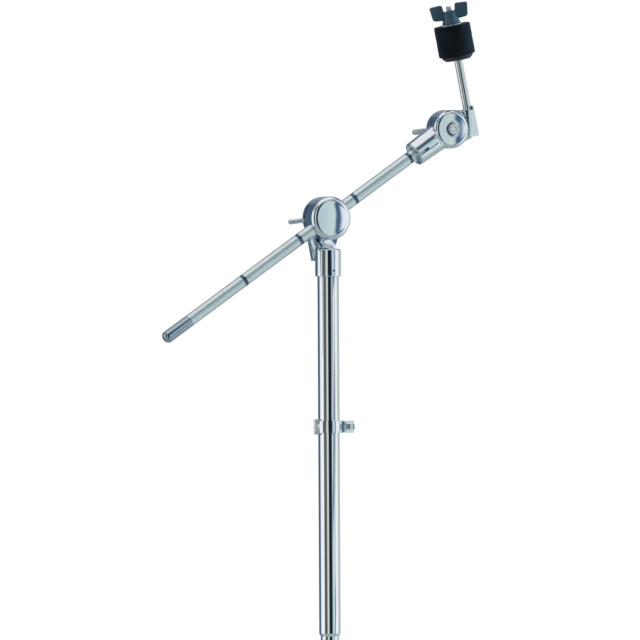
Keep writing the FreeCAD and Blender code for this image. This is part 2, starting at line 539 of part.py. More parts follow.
def makeSpindleHalf():
    rim = "(dim.headRadius - dim.headRimRound)"
    front = "(-dim.headFront)"
    half = turned("spindle_half", "XY_Plane", "V_Axis", [
        ("0", front + " - dim.headFaceRise"), (rim, front), (rim, front + " + dim.headRimRound"),
        ("dim.headRadius", front + " + dim.headRimRound"), ("dim.headRadius", "dim.headBack"),
        ("0", "dim.headBack")], dome=0)
    ring = circleSketch(half, "XY_Plane", rim, front + " + dim.headRimRound", "dim.headRimRound")
    revolve(half, ring, "V_Axis")
    doc.recompute()
    lean = "dim.spindleLean * 1deg"
    axisTop = "(dim.spindleOffset - dim.lugTop * sin(%s))" % lean
    axisFoot = "(dim.spindleOffset + dim.lugBottom * sin(%s))" % lean
    web = outline(half, "XZ_Plane", [
        ("0", "0"), ("dim.webSide", "-dim.webFoot"), (axisFoot, "-dim.lugBottom"),
        (axisTop, "dim.headRadius - dim.webDrop"),
        (axisTop + " - dim.lugHalfX", "dim.headRadius - dim.faceGap"),
        ("0", "dim.headRadius - dim.faceGap")])
    pad(half, web, "-dim.headBack", "dim.headBack + dim.headFront - dim.headRimRound", 1)
    # the lug is a block whose long axis leans with the spindle, with a lip behind the spindle
    sinLean = "sin(%s)" % lean
    cosLean = "cos(%s)" % lean

    def lugPoint(across, along):
        x = "dim.spindleOffset + (%s) * %s - (%s) * %s" % (across, cosLean, along, sinLean)
        z = "(%s) * %s + (%s) * %s" % (across, sinLean, along, cosLean)
        return x, z
    lug = outline(half, "XZ_Plane", [
        lugPoint("-dim.lugHalfX", "-dim.lugBottom"), lugPoint("dim.lugHalfX", "-dim.lugBottom"),
        lugPoint("dim.lugHalfX", "dim.lugTop + dim.lipHeight"),
        lugPoint("dim.lugHalfX - dim.lipThickness", "dim.lugTop + dim.lipHeight"),
        lugPoint("dim.lugHalfX - dim.lipThickness", "dim.lugTop"),
        lugPoint("-dim.lugHalfX", "dim.lugTop")])
    pad(half, lug, "dim.spindleSide - dim.lugHalfY", "2 * dim.lugHalfY", 1)

    def upright(edge):
        """A straight edge of the lug's outer wall, along the spindle."""
        ends = [vertex.Point for vertex in edge.Vertexes]
        if len(ends) != 2 or edge.Length < value("dim.lugTop"):
            return False
        run = (ends[1] - ends[0]).normalize()
        straight = abs(ends[0].distanceToPoint(ends[1]) - edge.Length) < 1e-3
        outer = edge.CenterOfMass.x > value("dim.spindleOffset")
        return straight and outer and abs(abs(run.z) - value(cosLean)) < 1e-3
    dress(half, "Fillet", "dim.lugRound", upright)
    # behind the seam only the lug stands out, clear of the socket half's disc
    clear = circleSketch(half, "XZ_Plane", "0", "0", sweepRadius)
    pocket(half, clear, "-dim.headBack - 2 * dim.lugHalfY", "2 * dim.lugHalfY", 1)
    bore = circleSketch(half, "XZ_Plane", "0", "0", "dim.shankRadius + dim.runningFit")
    pocket(half, bore, "-2 * dim.headFront", "4 * dim.headFront", 1)
    seat = circleSketch(half, "XZ_Plane", "0", "0", "dim.boltSeatRadius")
    pocket(half, seat, "dim.headFront + dim.headFaceRise - dim.boltSeatDepth", "dim.headFront", 1)
    hole = doc.addObject("Part::Cylinder", "spindle_hole")
    hole.setExpression("Radius", "dim.spindleRadius")
    hole.setExpression("Height", "dim.spigotDepth + 2 * dim.lipHeight")
    placeHole(hole)
    return half, hole


def placeHole(hole):
    """The spindle's hole, in the frame of the lug's half."""
    lean = "dim.spindleLean * 1deg"
    hole.Placement = Placement(Vector(0, 0, 0), Rotation(Vector(0, 1, 0), 10))
    hole.setExpression(".Placement.Rotation.Angle", leanTurn)
    start = "(dim.lugTop - dim.spigotDepth)"
    hole.setExpression(".Placement.Base.x", "dim.spindleOffset - %s * sin(%s)" % (start, lean))
    hole.setExpression(".Placement.Base.y", "-dim.spindleSide")
    hole.setExpression(".Placement.Base.z", "%s * cos(%s)" % (start, lean))


def makeHeadHardware():
    friction = makeRing("head_friction_washer", "dim.shankRadius + dim.looseFit",
                        "dim.headRadius - dim.frictionThickness", "(dim.headBack + dim.faceGap)",
                        "dim.frictionThickness")
    washer = makeRing("head_washer", "dim.shankRadius + dim.looseFit", "dim.washerRadius",
                      headDiscBack, "dim.washerThickness")
    boltEnd = "(%s - dim.barRadius - dim.barWeb)" % headBarPlace
    hub, bar = makeHandle("head", headHubStart, "dim.headHubLength", headBarPlace,
                          "dim.headBarLength", boltEnd)
    for piece in (friction, washer):
        place(piece, headX, "0", headZ)
    place(hub, headX, "0", headZ, "-dim.barDip * 1deg")
    place(bar, headX, headBarPlace, headZ, "-dim.barDip * 1deg")


# ---- spindle and cymbal seat ---------------------------------------------------------------

def makeSpindle():
    foot = "(dim.lugTop - dim.spigotDepth)"
    studFoot = "(dim.shoulderHeight - dim.threadSunk)"
    spindle = turned("cymbal_spindle", "XZ_Plane", "V_Axis", [
        ("0", foot), ("dim.spindleRadius", foot), ("dim.spindleRadius", "dim.shoulderHeight"),
        ("dim.threadRadius", "dim.shoulderHeight"), ("dim.threadRadius", studFoot),
        ("0", studFoot)])
    stud = turned("spindle_thread", "XZ_Plane", "V_Axis", [
        ("0", studFoot), ("dim.threadRadius", studFoot), ("dim.threadRadius", "dim.spindleHeight"),
        ("0", "dim.spindleHeight")])
    dress(stud, "Chamfer", "dim.edgeBreak", ringEdge("dim.threadRadius", "z", "dim.spindleHeight"))
    for piece in (spindle, stud):
        placeOnSpindle(piece)


def makeSeat():
    flange = "(%s - dim.seatFlange)" % seatTop
    seat = turned("seat_washer", "XZ_Plane", "V_Axis", [
        ("dim.threadRadius + dim.looseFit", "dim.shoulderHeight"),
        ("dim.seatRadius - dim.seatInset", "dim.shoulderHeight"), ("dim.seatRadius", flange),
        ("dim.seatRadius", seatTop), ("dim.threadRadius + dim.looseFit", seatTop)])
    sleeve = turned("spindle_sleeve", "XZ_Plane", "V_Axis", [
        ("dim.sleeveRadius - dim.sleeveWall", seatTop), ("dim.sleeveRadius", seatTop),
        ("dim.sleeveRadius", feltTop + " - dim.sleeveWall"),
        ("dim.sleeveRadius - dim.sleeveWall", feltTop + " - dim.sleeveWall")])
    felts = []
    middle = "(%s + dim.lowerFelt)" % seatTop
    lowerTop = "(%s - dim.faceGap)" % middle
    for name, low, high, hole in (
            ("lower_felt", seatTop, lowerTop, "dim.sleeveRadius + dim.looseFit"),
            ("upper_felt", middle, feltTop, "dim.sleeveRadius + 3 * dim.looseFit")):
        felt = turned(name, "XZ_Plane", "V_Axis", [
            (hole, low), ("dim.feltRadius", low), ("dim.feltRadius", high), (hole, high)])
        for end in (low, high):
            dress(felt, "Fillet", "dim.feltRound", ringEdge("dim.feltRadius", "z", end))
        felts.append(felt)
    washer = turned("top_washer", "XZ_Plane", "V_Axis", [
        ("dim.threadRadius + 3 * dim.looseFit", feltTop), ("dim.topWasherRadius", feltTop),
        ("dim.topWasherRadius", nutFoot), ("dim.threadRadius + 3 * dim.looseFit", nutFoot)])
    for piece in [seat, sleeve, washer] + felts:
        placeOnSpindle(piece)


def makeWingNut():
    foot = "(%s + dim.faceGap)" % nutFoot
    nut = turned("wing_nut", "XZ_Plane", "V_Axis", [
        ("0", foot), ("dim.nutHubRadius", foot),
        ("dim.nutHubRadius - dim.nutCone / 2", "%s + dim.nutHubHeight / 2" % foot),
        ("dim.nutHubRadius - dim.nutCone", "%s + dim.nutHubHeight" % foot),
        ("0", "%s + dim.nutHubHeight" % foot)])
    for side in (1, -1):
        inner, outer = "(%d * dim.wingInner)" % side, "(%d * dim.wingOuter)" % side
        shoulder = "(%d * (dim.wingOuter - dim.wingTaper))" % side
        wing = outline(nut, "XZ_Plane", [
            (inner, "%s + dim.wingLow" % foot), (shoulder, "%s + dim.wingLow + dim.wingStep" % foot),
            (outer, "%s + dim.wingHigh - dim.wingDrop" % foot), (inner, "%s + dim.wingHigh" % foot)])
        # the wings' plane is turned about the spindle, and they are thickened evenly about it
        wing.AttachmentOffset = Placement(Vector(0, 0, 0), Rotation(Vector(0, 1, 0), 10))
        wing.setExpression(".AttachmentOffset.Rotation.Angle", "-dim.wingTurn * 1deg")
        blade = pad(nut, wing, "0", "dim.wingThickness", 1)
        blade.Midplane = True
        doc.recompute()
    hole = circleSketch(nut, "XY_Plane", "0", "0", "dim.threadRadius + dim.looseFit")
    pocket(nut, hole, foot + " - dim.cutMargin", "dim.nutHubHeight + 2 * dim.cutMargin", 1)
    placeOnSpindle(nut)


# ---- memory lock ---------------------------------------------------------------------------

def makeLockJaw(name, side, knuckles):
    """Half of the hinged collar; side is -1 for the near jaw and +1 for the far one."""
    jaw = turned(name, "XZ_Plane", "V_Axis", [
        (lockBore, "-dim.lockTall / 2"), (lockOuter, "-dim.lockTall / 2"),
        (lockOuter, "dim.lockTall / 2"), (lockBore, "dim.lockTall / 2")])
    near, far = "(%d * dim.earGap / 2)" % side, "(%d * (dim.earGap / 2 + dim.earThickness))" % side
    ear = outline(jaw, "XY_Plane", [
        (lockBore + " - dim.cutMargin", near), ("dim.earEnd", near), ("dim.earEnd", far),
        (lockBore + " - dim.cutMargin", far)])
    pad(jaw, ear, "-dim.lockTall / 2", "dim.lockTall", 1)
    # the other jaw's half is cut away, up to the gap between the ears
    beyond = "(-%d * 3 * %s)" % (side, lockOuter)
    clear = outline(jaw, "XY_Plane", [
        ("-2 * " + lockOuter, near), ("dim.earEnd + dim.cutMargin", near),
        ("dim.earEnd + dim.cutMargin", beyond), ("-2 * " + lockOuter, beyond)])
    pocket(jaw, clear, "-dim.knuckleTall", "2 * dim.knuckleTall", 1)
    relief = circleSketch(jaw, "XY_Plane", "-" + hingePlace, "0", "dim.knuckleRadius + dim.knuckleGap")
    pocket(jaw, relief, "-dim.knuckleTall", "2 * dim.knuckleTall", 1)
    third = "(dim.knuckleTall / 3)"
    for level in knuckles:
        low = "(%d * %s / 2 + dim.knuckleGap)" % (2 * level - 1, third)
        knuckle = circleSketch(jaw, "XY_Plane", "-" + hingePlace, "0", "dim.knuckleRadius")
        pad(jaw, knuckle, low, "%s - 2 * dim.knuckleGap" % third, 1)
        leaf = outline(jaw, "XY_Plane", [
            ("-" + hingePlace, "%d * dim.knuckleBore" % side),
            ("dim.leafLap - " + lockBore, "%d * dim.knuckleBore" % side),
            ("dim.leafLap - " + lockBore, "%d * dim.leafReach" % side),
            ("-" + lockBore, "%d * dim.leafReach" % side),
            ("-" + hingePlace, "%d * dim.knuckleRadius" % side)])
        pad(jaw, leaf, low, "%s - 2 * dim.knuckleGap" % third, 1)
    bore = circleSketch(jaw, "XY_Plane", "0", "0", lockBore)
    pocket(jaw, bore, "-dim.knuckleTall", "2 * dim.knuckleTall", 1)
    pin = circleSketch(jaw, "XY_Plane", "-" + hingePlace, "0", "dim.knuckleBore + dim.runningFit")
    pocket(jaw, pin, "-dim.knuckleTall", "2 * dim.knuckleTall", 1)
    bolt = circleSketch(jaw, "XZ_Plane", "dim.keyBoltPlace", "0", "dim.keyBoltRadius + dim.runningFit")
    pocket(jaw, bolt, "-dim.tubeRadius", "2 * dim.tubeRadius", 1)
    place(jaw, "0", "0", "dim.lockHeight")


def makeLockHardware():
    pin = turned("lock_hinge_pin", "XZ_Plane", "V_Axis", [
        ("0", "-dim.knuckleTall / 2"), ("dim.knuckleBore", "-dim.knuckleTall / 2"),
        ("dim.knuckleBore", "dim.knuckleTall / 2"), ("0", "dim.knuckleTall / 2")])
    place(pin, "-" + hingePlace, "0", "dim.lockHeight")
    earFace = "(dim.earGap / 2 + dim.earThickness)"
    bolt = newBody("lock_key_bolt")
    stem = circleSketch(bolt, "XZ_Plane", "dim.keyBoltPlace", "0", "dim.keyBoltRadius")
    pad(bolt, stem, "-%s - dim.lockNutThickness" % earFace,
        "2 * %s + dim.lockNutThickness" % earFace, 1)
    pad(bolt, squareSketch(bolt, "dim.keyBoltSquare / 2"), earFace, "dim.keyBoltHead", 1)
    place(bolt, "0", "0", "dim.lockHeight")
    nut = newBody("lock_nut")
    pad(nut, squareSketch(nut, "dim.lockNutSquare / 2"), "-%s - dim.lockNutThickness" % earFace,
        "dim.lockNutThickness", 1)
    hole = circleSketch(nut, "XZ_Plane", "dim.keyBoltPlace", "0",
                        "dim.keyBoltRadius + dim.runningFit")
    pocket(nut, hole, "-%s - 2 * dim.lockNutThickness" % earFace, "3 * dim.lockNutThickness", 1)
    place(nut, "0", "0", "dim.lockHeight")


def squareSketch(body, half):
    """A square about the lock's key bolt."""
    return outline(body, "XZ_Plane", [
        ("dim.keyBoltPlace - " + half, "-" + half), ("dim.keyBoltPlace + " + half, "-" + half),
        ("dim.keyBoltPlace + " + half, half), ("dim.keyBoltPlace - " + half, half)])


makeDownTube()
makeTilterBase()
makeSocketPin()
makeClampRotor()
makeEyeBolt()
makeTilterHardware()
makeBoomRod()
makeEndCap()
makeHeadSocket()
makeHeadKeyScrew()
makeHeadBolt()
spindleHalf, spindleHole = makeSpindleHalf()
makeHeadHardware()
makeSpindle()
makeSeat()
makeWingNut()
makeLockJaw("lock_near_jaw", -1, (0,))
makeLockJaw("lock_far_jaw", 1, (-1, 1))
makeLockHardware()
doc.recompute()

# the spindle's leaning hole is cut through the lug by a boolean, in the half's own frame
spindleHalf.Label = "spindle_half_blank"
drilled = doc.addObject("Part::Cut", "spindle_half_drilled")
drilled.Base = spindleHalf
drilled.Tool = spindleHole
drilled.Label = "spindle_half"
parts.remove(spindleHalf)
parts.append(drilled)
place(drilled, headX, "0", headZ)
doc.recompute()

for item in doc.Objects:
    failed = [state for state in item.State if state in ("Invalid", "Error")]
    assert not failed, "%s: %s" % (item.Label, failed)
for piece in parts:
    assert not piece.Shape.isNull(), piece.Label + " has no shape"
    assert piece.Shape.isValid(), piece.Label + " is not valid"
    assert piece.Shape.Solids, piece.Label + " has no solid"
for piece in parts:
    piece.Shape.exportStep("parts/%s.step" % piece.Label)
print("%d pieces written" % len(parts))
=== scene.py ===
import json
import math
import random

import bmesh
import bpy
from mathutils import Matrix, Vector


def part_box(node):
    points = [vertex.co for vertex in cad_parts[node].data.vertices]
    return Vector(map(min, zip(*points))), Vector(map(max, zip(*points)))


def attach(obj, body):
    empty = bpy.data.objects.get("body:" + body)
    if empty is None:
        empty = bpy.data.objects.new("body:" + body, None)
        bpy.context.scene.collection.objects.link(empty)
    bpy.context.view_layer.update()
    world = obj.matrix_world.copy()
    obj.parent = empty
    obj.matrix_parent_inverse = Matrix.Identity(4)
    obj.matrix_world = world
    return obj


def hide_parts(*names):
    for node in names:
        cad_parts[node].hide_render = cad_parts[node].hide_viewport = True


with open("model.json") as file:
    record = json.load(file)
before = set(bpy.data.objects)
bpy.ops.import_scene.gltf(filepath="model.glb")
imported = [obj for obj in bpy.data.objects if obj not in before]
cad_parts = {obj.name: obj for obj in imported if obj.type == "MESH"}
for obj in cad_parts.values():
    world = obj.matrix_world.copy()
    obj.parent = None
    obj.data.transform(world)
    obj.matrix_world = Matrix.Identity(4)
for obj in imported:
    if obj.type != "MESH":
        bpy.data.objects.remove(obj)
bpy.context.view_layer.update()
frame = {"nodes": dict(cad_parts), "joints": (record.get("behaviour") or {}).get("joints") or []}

mm = 0.001
fullTurn = 2 * math.pi
nodes = frame["nodes"]
joints = {joint["name"]: joint for joint in frame["joints"]}


def halfSize(node, axis):
    low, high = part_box(node)
    return (high[axis] - low[axis]) / 2


def jointPoint(name):
    return Vector(joints[name]["pos_m"])


def jointAxis(name):
    return Vector(joints[name]["axis"]).normalized()


def frameAt(origin, along, side):
    # local Z runs along, local X is the side direction made square to it
    z = along.normalized()
    y = z.cross(side).normalized()
    x = y.cross(z)
    turned = Matrix((x, y, z)).transposed().to_4x4()
    return Matrix.Translation(origin) @ turned


right, back, up = Vector((1, 0, 0)), Vector((0, 1, 0)), Vector((0, 0, 1))
tilterCentre = jointPoint("boom_tilt")
headCentre = jointPoint("cymbal_tilt")
boomAxis = jointAxis("boom_slide")
spindleAxis = jointAxis("felt_lift")
spindlePoint = jointPoint("wing_nut_spin")

# Z runs back along the tilt axes, and up the boom
tilterFrame = frameAt(tilterCentre, back, boomAxis)
boomFrame = frameAt(tilterCentre, boomAxis, back)
headFrame = frameAt(headCentre, back, boomAxis)

# heights up the spindle are counted from the lug's half, level with the cymbal tilter's centre
spindleRun = (spindlePoint.z - headCentre.z) / spindleAxis.z
spindleFoot = spindlePoint - spindleAxis * spindleRun
spindleFrame = frameAt(spindleFoot, spindleAxis, right)


def spanAlong(node, place):
    # lowest and highest place of a CAD node along a frame's Z
    inverse = place.inverted()
    heights = [(inverse @ vertex.co).z for vertex in nodes[node].data.vertices]
    return min(heights), max(heights)


def reachFrom(node, place):
    # largest distance of a CAD node from a frame's Z
    inverse = place.inverted()
    return max((inverse @ vertex.co).xy.length for vertex in nodes[node].data.vertices)


cameraSet = {
    "azimuth": -27.0,       # degrees round from square-on, so the tilters' left walls show
    "frameHeight": 0.661,   # metres seen from top to bottom
    "lens": 900.0,
    "sensor": 36.0,
    "aimAcross": -0.0086,   # the frame's centre lies this far left of the tube
    "aimHeight": 0.3238,
    "roll": 0.29,           # degrees
}


def addCamera():
    turn = math.radians(cameraSet["azimuth"])
    towards = Vector((math.sin(turn), -math.cos(turn), 0))
    across = Vector((math.cos(turn), math.sin(turn), 0))
    data = bpy.data.cameras.new("camera")
    data.lens = cameraSet["lens"]
    data.sensor_width = cameraSet["sensor"]
    data.clip_end = 50
    distance = cameraSet["frameHeight"] * cameraSet["lens"] / cameraSet["sensor"]
    camera = bpy.data.objects.new("camera", data)
    bpy.context.scene.collection.objects.link(camera)
    aim = across * cameraSet["aimAcross"] + up * cameraSet["aimHeight"]
    camera.location = aim + towards * distance
    facing = towards.to_track_quat("Z", "Y").to_matrix().to_4x4()
    camera.matrix_world = (Matrix.Translation(camera.location) @ facing
                           @ Matrix.Rotation(math.radians(-cameraSet["roll"]), 4, "Z"))
    bpy.context.scene.camera = camera


addCamera()
print("camera placed")


def roundedOutline(corners, steps=5):
    # corners are (radius, height) or (radius, height, fillet); a fillet becomes a short arc
    outline = []
    count = len(corners)
    for number, corner in enumerate(corners):
        here = Vector(corner[:2])
        fillet = corner[2] if len(corner) > 2 else 0
        if fillet == 0:
            outline.append(here)
            continue
        before = (Vector(corners[number - 1][:2]) - here).normalized()
        after = (Vector(corners[(number + 1) % count][:2]) - here).normalized()
        half = before.angle(after) / 2
        reach = fillet / math.tan(half)
        centre = here + (before + after).normalized() * fillet / math.sin(half)
        start, end = here + before * reach - centre, here + after * reach - centre
        sweep = start.angle_signed(end)
        for step in range(steps + 1):
            turned = start.copy()
            turned.rotate(Matrix.Rotation(-sweep * step / steps, 2))
            outline.append(centre + turned)
    return outline


weld = {"points": 1e-7, "slivers": 1e-8, "castPoints": 2e-6}   # metres
finishAngle = 32   # degrees; sharper edges stay sharp


def spunShape(outline, steps=96, closed=True):
    # an outline of (radius, height) spun about Z
    shape = bmesh.new()
    points = [shape.verts.new((point[0], 0, point[1])) for point in outline]
    pairs = list(zip(points, points[1:]))
    if closed:
        pairs.append((points[-1], points[0]))
    edges = [shape.edges.new(pair) for pair in pairs]
    bmesh.ops.spin(shape, geom=points + edges, cent=(0, 0, 0), axis=(0, 0, 1), angle=fullTurn,
                   steps=steps, use_merge=True, use_duplicate=False)
    bmesh.ops.remove_doubles(shape, verts=shape.verts, dist=weld["points"])
    bmesh.ops.dissolve_degenerate(shape, edges=shape.edges, dist=weld["slivers"])
    bmesh.ops.recalc_face_normals(shape, faces=shape.faces)
    return shape


def intoObject(shape, name, place=None, smoothAngle=finishAngle):
    if place is not None:
        bmesh.ops.transform(shape, matrix=place, verts=shape.verts)
    mesh = bpy.data.meshes.new(name)
    shape.to_mesh(mesh)
    shape.free()
    mesh.shade_smooth()
    mesh.set_sharp_from_angle(angle=math.radians(smoothAngle))
    piece = bpy.data.objects.new(name, mesh)
    bpy.context.scene.collection.objects.link(piece)
    return piece


def roundedBlock(size, bevel, segments=3):
    # a box with every edge rounded
    shape = bmesh.new()
    bmesh.ops.create_cube(shape, size=1, matrix=Matrix.Diagonal((*size, 1)))
    bmesh.ops.bevel(shape, geom=shape.edges[:], offset=bevel, offset_type="OFFSET",
                    segments=segments, profile=0.5, affect="EDGES", material=-1)
    return shape


def extrudedShape(points, thickness, bevel, segments=3):
    # a flat outline in XZ thickened evenly about Y, with its rims rounded
    shape = bmesh.new()
    corners = [shape.verts.new((x, -thickness / 2, z)) for x, z in points]
    face = shape.faces.new(corners)
    made = bmesh.ops.extrude_face_region(shape, geom=[face])
    moved = [item for item in made["geom"] if isinstance(item, bmesh.types.BMVert)]
    bmesh.ops.translate(shape, verts=moved, vec=(0, thickness, 0))
    bmesh.ops.recalc_face_normals(shape, faces=shape.faces)
    if bevel:
        bmesh.ops.bevel(shape, geom=shape.edges[:], offset=bevel, offset_type="OFFSET",
                        segments=segments, profile=0.5, affect="EDGES", material=-1)
    return shape


def bakeModifiers(piece):
    evaluated = piece.evaluated_get(bpy.context.evaluated_depsgraph_get())
    mesh = bpy.data.meshes.new_from_object(evaluated)
    piece.modifiers.clear()
    piece.data = mesh


def combine(piece, others, operation):
    # join or cut solids for good; the other solids are used up
    for other in others:
        tool = piece.modifiers.new("combine", "BOOLEAN")
        tool.operation = operation
        tool.solver = "EXACT"
        tool.object = other
        bpy.context.view_layer.update()
        bakeModifiers(piece)
        bpy.data.objects.remove(other)
    return piece


def drill(radius, start, end, place, steps=48):
    # a plug to cut a bore with
    shape = spunShape([(0, start), (radius, start), (radius, end), (0, end)], steps, closed=False)
    return intoObject(shape, "bore_tool", place)


def evenShading(piece):
    # broad faces keep their own normals, so that flats stay flat beside their fillets
    even = piece.modifiers.new("evenShading", "WEIGHTED_NORMAL")
    even.keep_sharp = True
    even.weight = 80


def smoothedCopy(node, name, angle=30):
    # the CAD node's own shape, welded and shaded smoothly
    mesh = nodes[node].data.copy()
    piece = bpy.data.objects.new(name, mesh)
    bpy.context.scene.collection.objects.link(piece)
    shape = bmesh.new()
    shape.from_mesh(mesh)
    bmesh.ops.remove_doubles(shape, verts=shape.verts, dist=weld["castPoints"])
    shape.to_mesh(mesh)
    shape.free()
    mesh.materials.clear()
    mesh.shade_smooth()
    mesh.set_sharp_from_angle(angle=math.radians(angle))
    evenShading(piece)
    return piece


def finishPiece(piece, body, replaced, material):
    piece.data.materials.clear()
    piece.data.materials.append(material)
    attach(piece, body)
    if replaced:
        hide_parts(*replaced)
    return piece


def newGroup(name, inputs, outputs):
    group = bpy.data.node_groups.new(name, "ShaderNodeTree")
    for label, kind, value in inputs:
        socket = group.interface.new_socket(label, in_out="INPUT", socket_type=kind)
        if value is not None:
            socket.default_value = value
    for label, kind in outputs:
        group.interface.new_socket(label, in_out="OUTPUT", socket_type=kind)
    start = group.nodes.new("NodeGroupInput")
    end = group.nodes.new("NodeGroupOutput")
    return group, start, end


def addNode(tree, kind, links=(), **values):
    node = tree.nodes.new(kind)
    for key, value in values.items():
        if key[0].isupper():
            node.inputs[key.replace("_", " ")].default_value = value
        else:
            setattr(node, key, value)
    for source, target in links:
        tree.links.new(source, node.inputs[target])
    return node


def makePolishGroup():
    # plating: broad changes of polish, fine wipe marks and a slight waviness
    group, start, end = newGroup("platingPolish", [
        ("Vector", "NodeSocketVector", None), ("Smear Scale", "NodeSocketFloat", 60.0),
        ("Rough Low", "NodeSocketFloat", 0.04), ("Rough High", "NodeSocketFloat", 0.12),
        ("Wave Scale", "NodeSocketFloat", 90.0), ("Tint Clean", "NodeSocketColor", (.8, .8, .8, 1)),
        ("Tint Hazed", "NodeSocketColor", (.7, .7, .7, 1))], [
        ("Color", "NodeSocketColor"), ("Roughness", "NodeSocketFloat"),
        ("Height", "NodeSocketFloat")])
    smear = addNode(group, "ShaderNodeTexNoise", [
        (start.outputs["Vector"], "Vector"), (start.outputs["Smear Scale"], "Scale")],
        Detail=5.0, Roughness=0.62, Distortion=0.4)
    spread = addNode(group, "ShaderNodeMapRange", [
        (smear.outputs["Fac"], "Value"), (start.outputs["Rough Low"], "To Min"),
        (start.outputs["Rough High"], "To Max")])
    spread.inputs["From Min"].default_value = 0.35
    spread.inputs["From Max"].default_value = 0.7
    tint = addNode(group, "ShaderNodeMix", data_type="RGBA")
    group.links.new(smear.outputs["Fac"], tint.inputs["Factor"])
    group.links.new(start.outputs["Tint Clean"], tint.inputs[6])
    group.links.new(start.outputs["Tint Hazed"], tint.inputs[7])
    wave = addNode(group, "ShaderNodeTexNoise", [
        (start.outputs["Vector"], "Vector"), (start.outputs["Wave Scale"], "Scale")], Detail=1.0)
    wipe = addNode(group, "ShaderNodeTexNoise", [(start.outputs["Vector"], "Vector")],
                   Scale=2600.0, Detail=2.0)
    fine = addNode(group, "ShaderNodeMath", [(wipe.outputs["Fac"], 0)], operation="MULTIPLY")
    fine.inputs[1].default_value = 0.04
    height = addNode(group, "ShaderNodeMath", [
        (wave.outputs["Fac"], 0), (fine.outputs[0], 1)], operation="ADD")
    group.links.new(tint.outputs[2], end.inputs["Color"])
    group.links.new(spread.outputs["Result"], end.inputs["Roughness"])
    group.links.new(height.outputs[0], end.inputs["Height"])
    return group


def makeGrainGroup():
    # a two-scale grain for coatings, mouldings and pressed fibre
    group, start, end = newGroup("surfaceGrain", [
        ("Vector", "NodeSocketVector", None), ("Grain Scale", "NodeSocketFloat", 900.0),
        ("Patch Scale", "NodeSocketFloat", 70.0), ("Base", "NodeSocketColor", (.1, .1, .1, 1)),
        ("Worn", "NodeSocketColor", (.2, .2, .2, 1)), ("Rough Low", "NodeSocketFloat", 0.4),
        ("Rough High", "NodeSocketFloat", 0.6)], [
        ("Color", "NodeSocketColor"), ("Roughness", "NodeSocketFloat"),
        ("Height", "NodeSocketFloat")])
    patch = addNode(group, "ShaderNodeTexNoise", [
        (start.outputs["Vector"], "Vector"), (start.outputs["Patch Scale"], "Scale")], Detail=4.0)
    grain = addNode(group, "ShaderNodeTexNoise", [
        (start.outputs["Vector"], "Vector"), (start.outputs["Grain Scale"], "Scale")],
        Detail=3.0, Roughness=0.7)
    mixed = addNode(group, "ShaderNodeMath", [
        (patch.outputs["Fac"], 0), (grain.outputs["Fac"], 1)], operation="MULTIPLY")
    spread = addNode(group, "ShaderNodeMapRange", [(mixed.outputs[0], "Value")])
    spread.inputs["From Min"].default_value = 0.15
    spread.inputs["From Max"].default_value = 0.4
    tint = addNode(group, "ShaderNodeMix", data_type="RGBA")
    group.links.new(spread.outputs["Result"], tint.inputs["Factor"])
    group.links.new(start.outputs["Base"], tint.inputs[6])
    group.links.new(start.outputs["Worn"], tint.inputs[7])
    rough = addNode(group, "ShaderNodeMapRange", [
        (grain.outputs["Fac"], "Value"), (start.outputs["Rough Low"], "To Min"),
        (start.outputs["Rough High"], "To Max")])
    group.links.new(tint.outputs[2], end.inputs["Color"])
    group.links.new(rough.outputs["Result"], end.inputs["Roughness"])
    group.links.new(grain.outputs["Fac"], end.inputs["Height"])
    return group


polishGroup = makePolishGroup()
grainGroup = makeGrainGroup()


def groupMaterial(name, group, settings, bump, metallic):
    # a Principled surface driven by one of the groups
    material = bpy.data.materials.new(name)
    material.use_nodes = True
    tree = material.node_tree
    surface = tree.nodes["Principled BSDF"]
    surface.inputs["Metallic"].default_value = metallic
    place = tree.nodes.new("ShaderNodeTexCoord")
    effect = tree.nodes.new("ShaderNodeGroup")
    effect.node_tree = group
    for key, value in settings.items():
        effect.inputs[key].default_value = value
    tree.links.new(place.outputs["Object"], effect.inputs["Vector"])
    relief = addNode(tree, "ShaderNodeBump", [(effect.outputs["Height"], "Height")],
                     Strength=bump[0], Distance=bump[1])
    tree.links.new(effect.outputs["Color"], surface.inputs["Base Color"])
    tree.links.new(effect.outputs["Roughness"], surface.inputs["Roughness"])
    tree.links.new(relief.outputs["Normal"], surface.inputs["Normal"])
    return material


def plating(name, clean, hazed, rough, waves, bump):
    settings = {"Tint Clean": (*clean, 1), "Tint Hazed": (*hazed, 1), "Rough Low": rough[0],
                "Rough High": rough[1], "Wave Scale": waves}
    return groupMaterial(name, polishGroup, settings, bump, 1.0)


def coated(name, base, worn, rough, grain, bump, metallic=0.0):
    settings = {"Base": (*base, 1), "Worn": (*worn, 1), "Rough Low": rough[0],
                "Rough High": rough[1], "Grain Scale": grain}
    return groupMaterial(name, grainGroup, settings, bump, metallic)


def makeWool():
    # matted wool: a tangle of short fibres, with a bluish bloom where it catches the light
    felt = coated("blackFelt", (.0016, .0022, .0036), (.007, .011, .018), (.82, 1.0), 1500.0,
                  (0.9, 0.0004))
    surface = felt.node_tree.nodes["Principled BSDF"]
    surface.inputs["Sheen Weight"].default_value = 0.15
    surface.inputs["Sheen Roughness"].default_value = 0.45
    surface.inputs["Sheen Tint"].default_value = (0.25, 0.45, 0.75, 1)
    surface.inputs["Specular IOR Level"].default_value = 0.2
    return felt


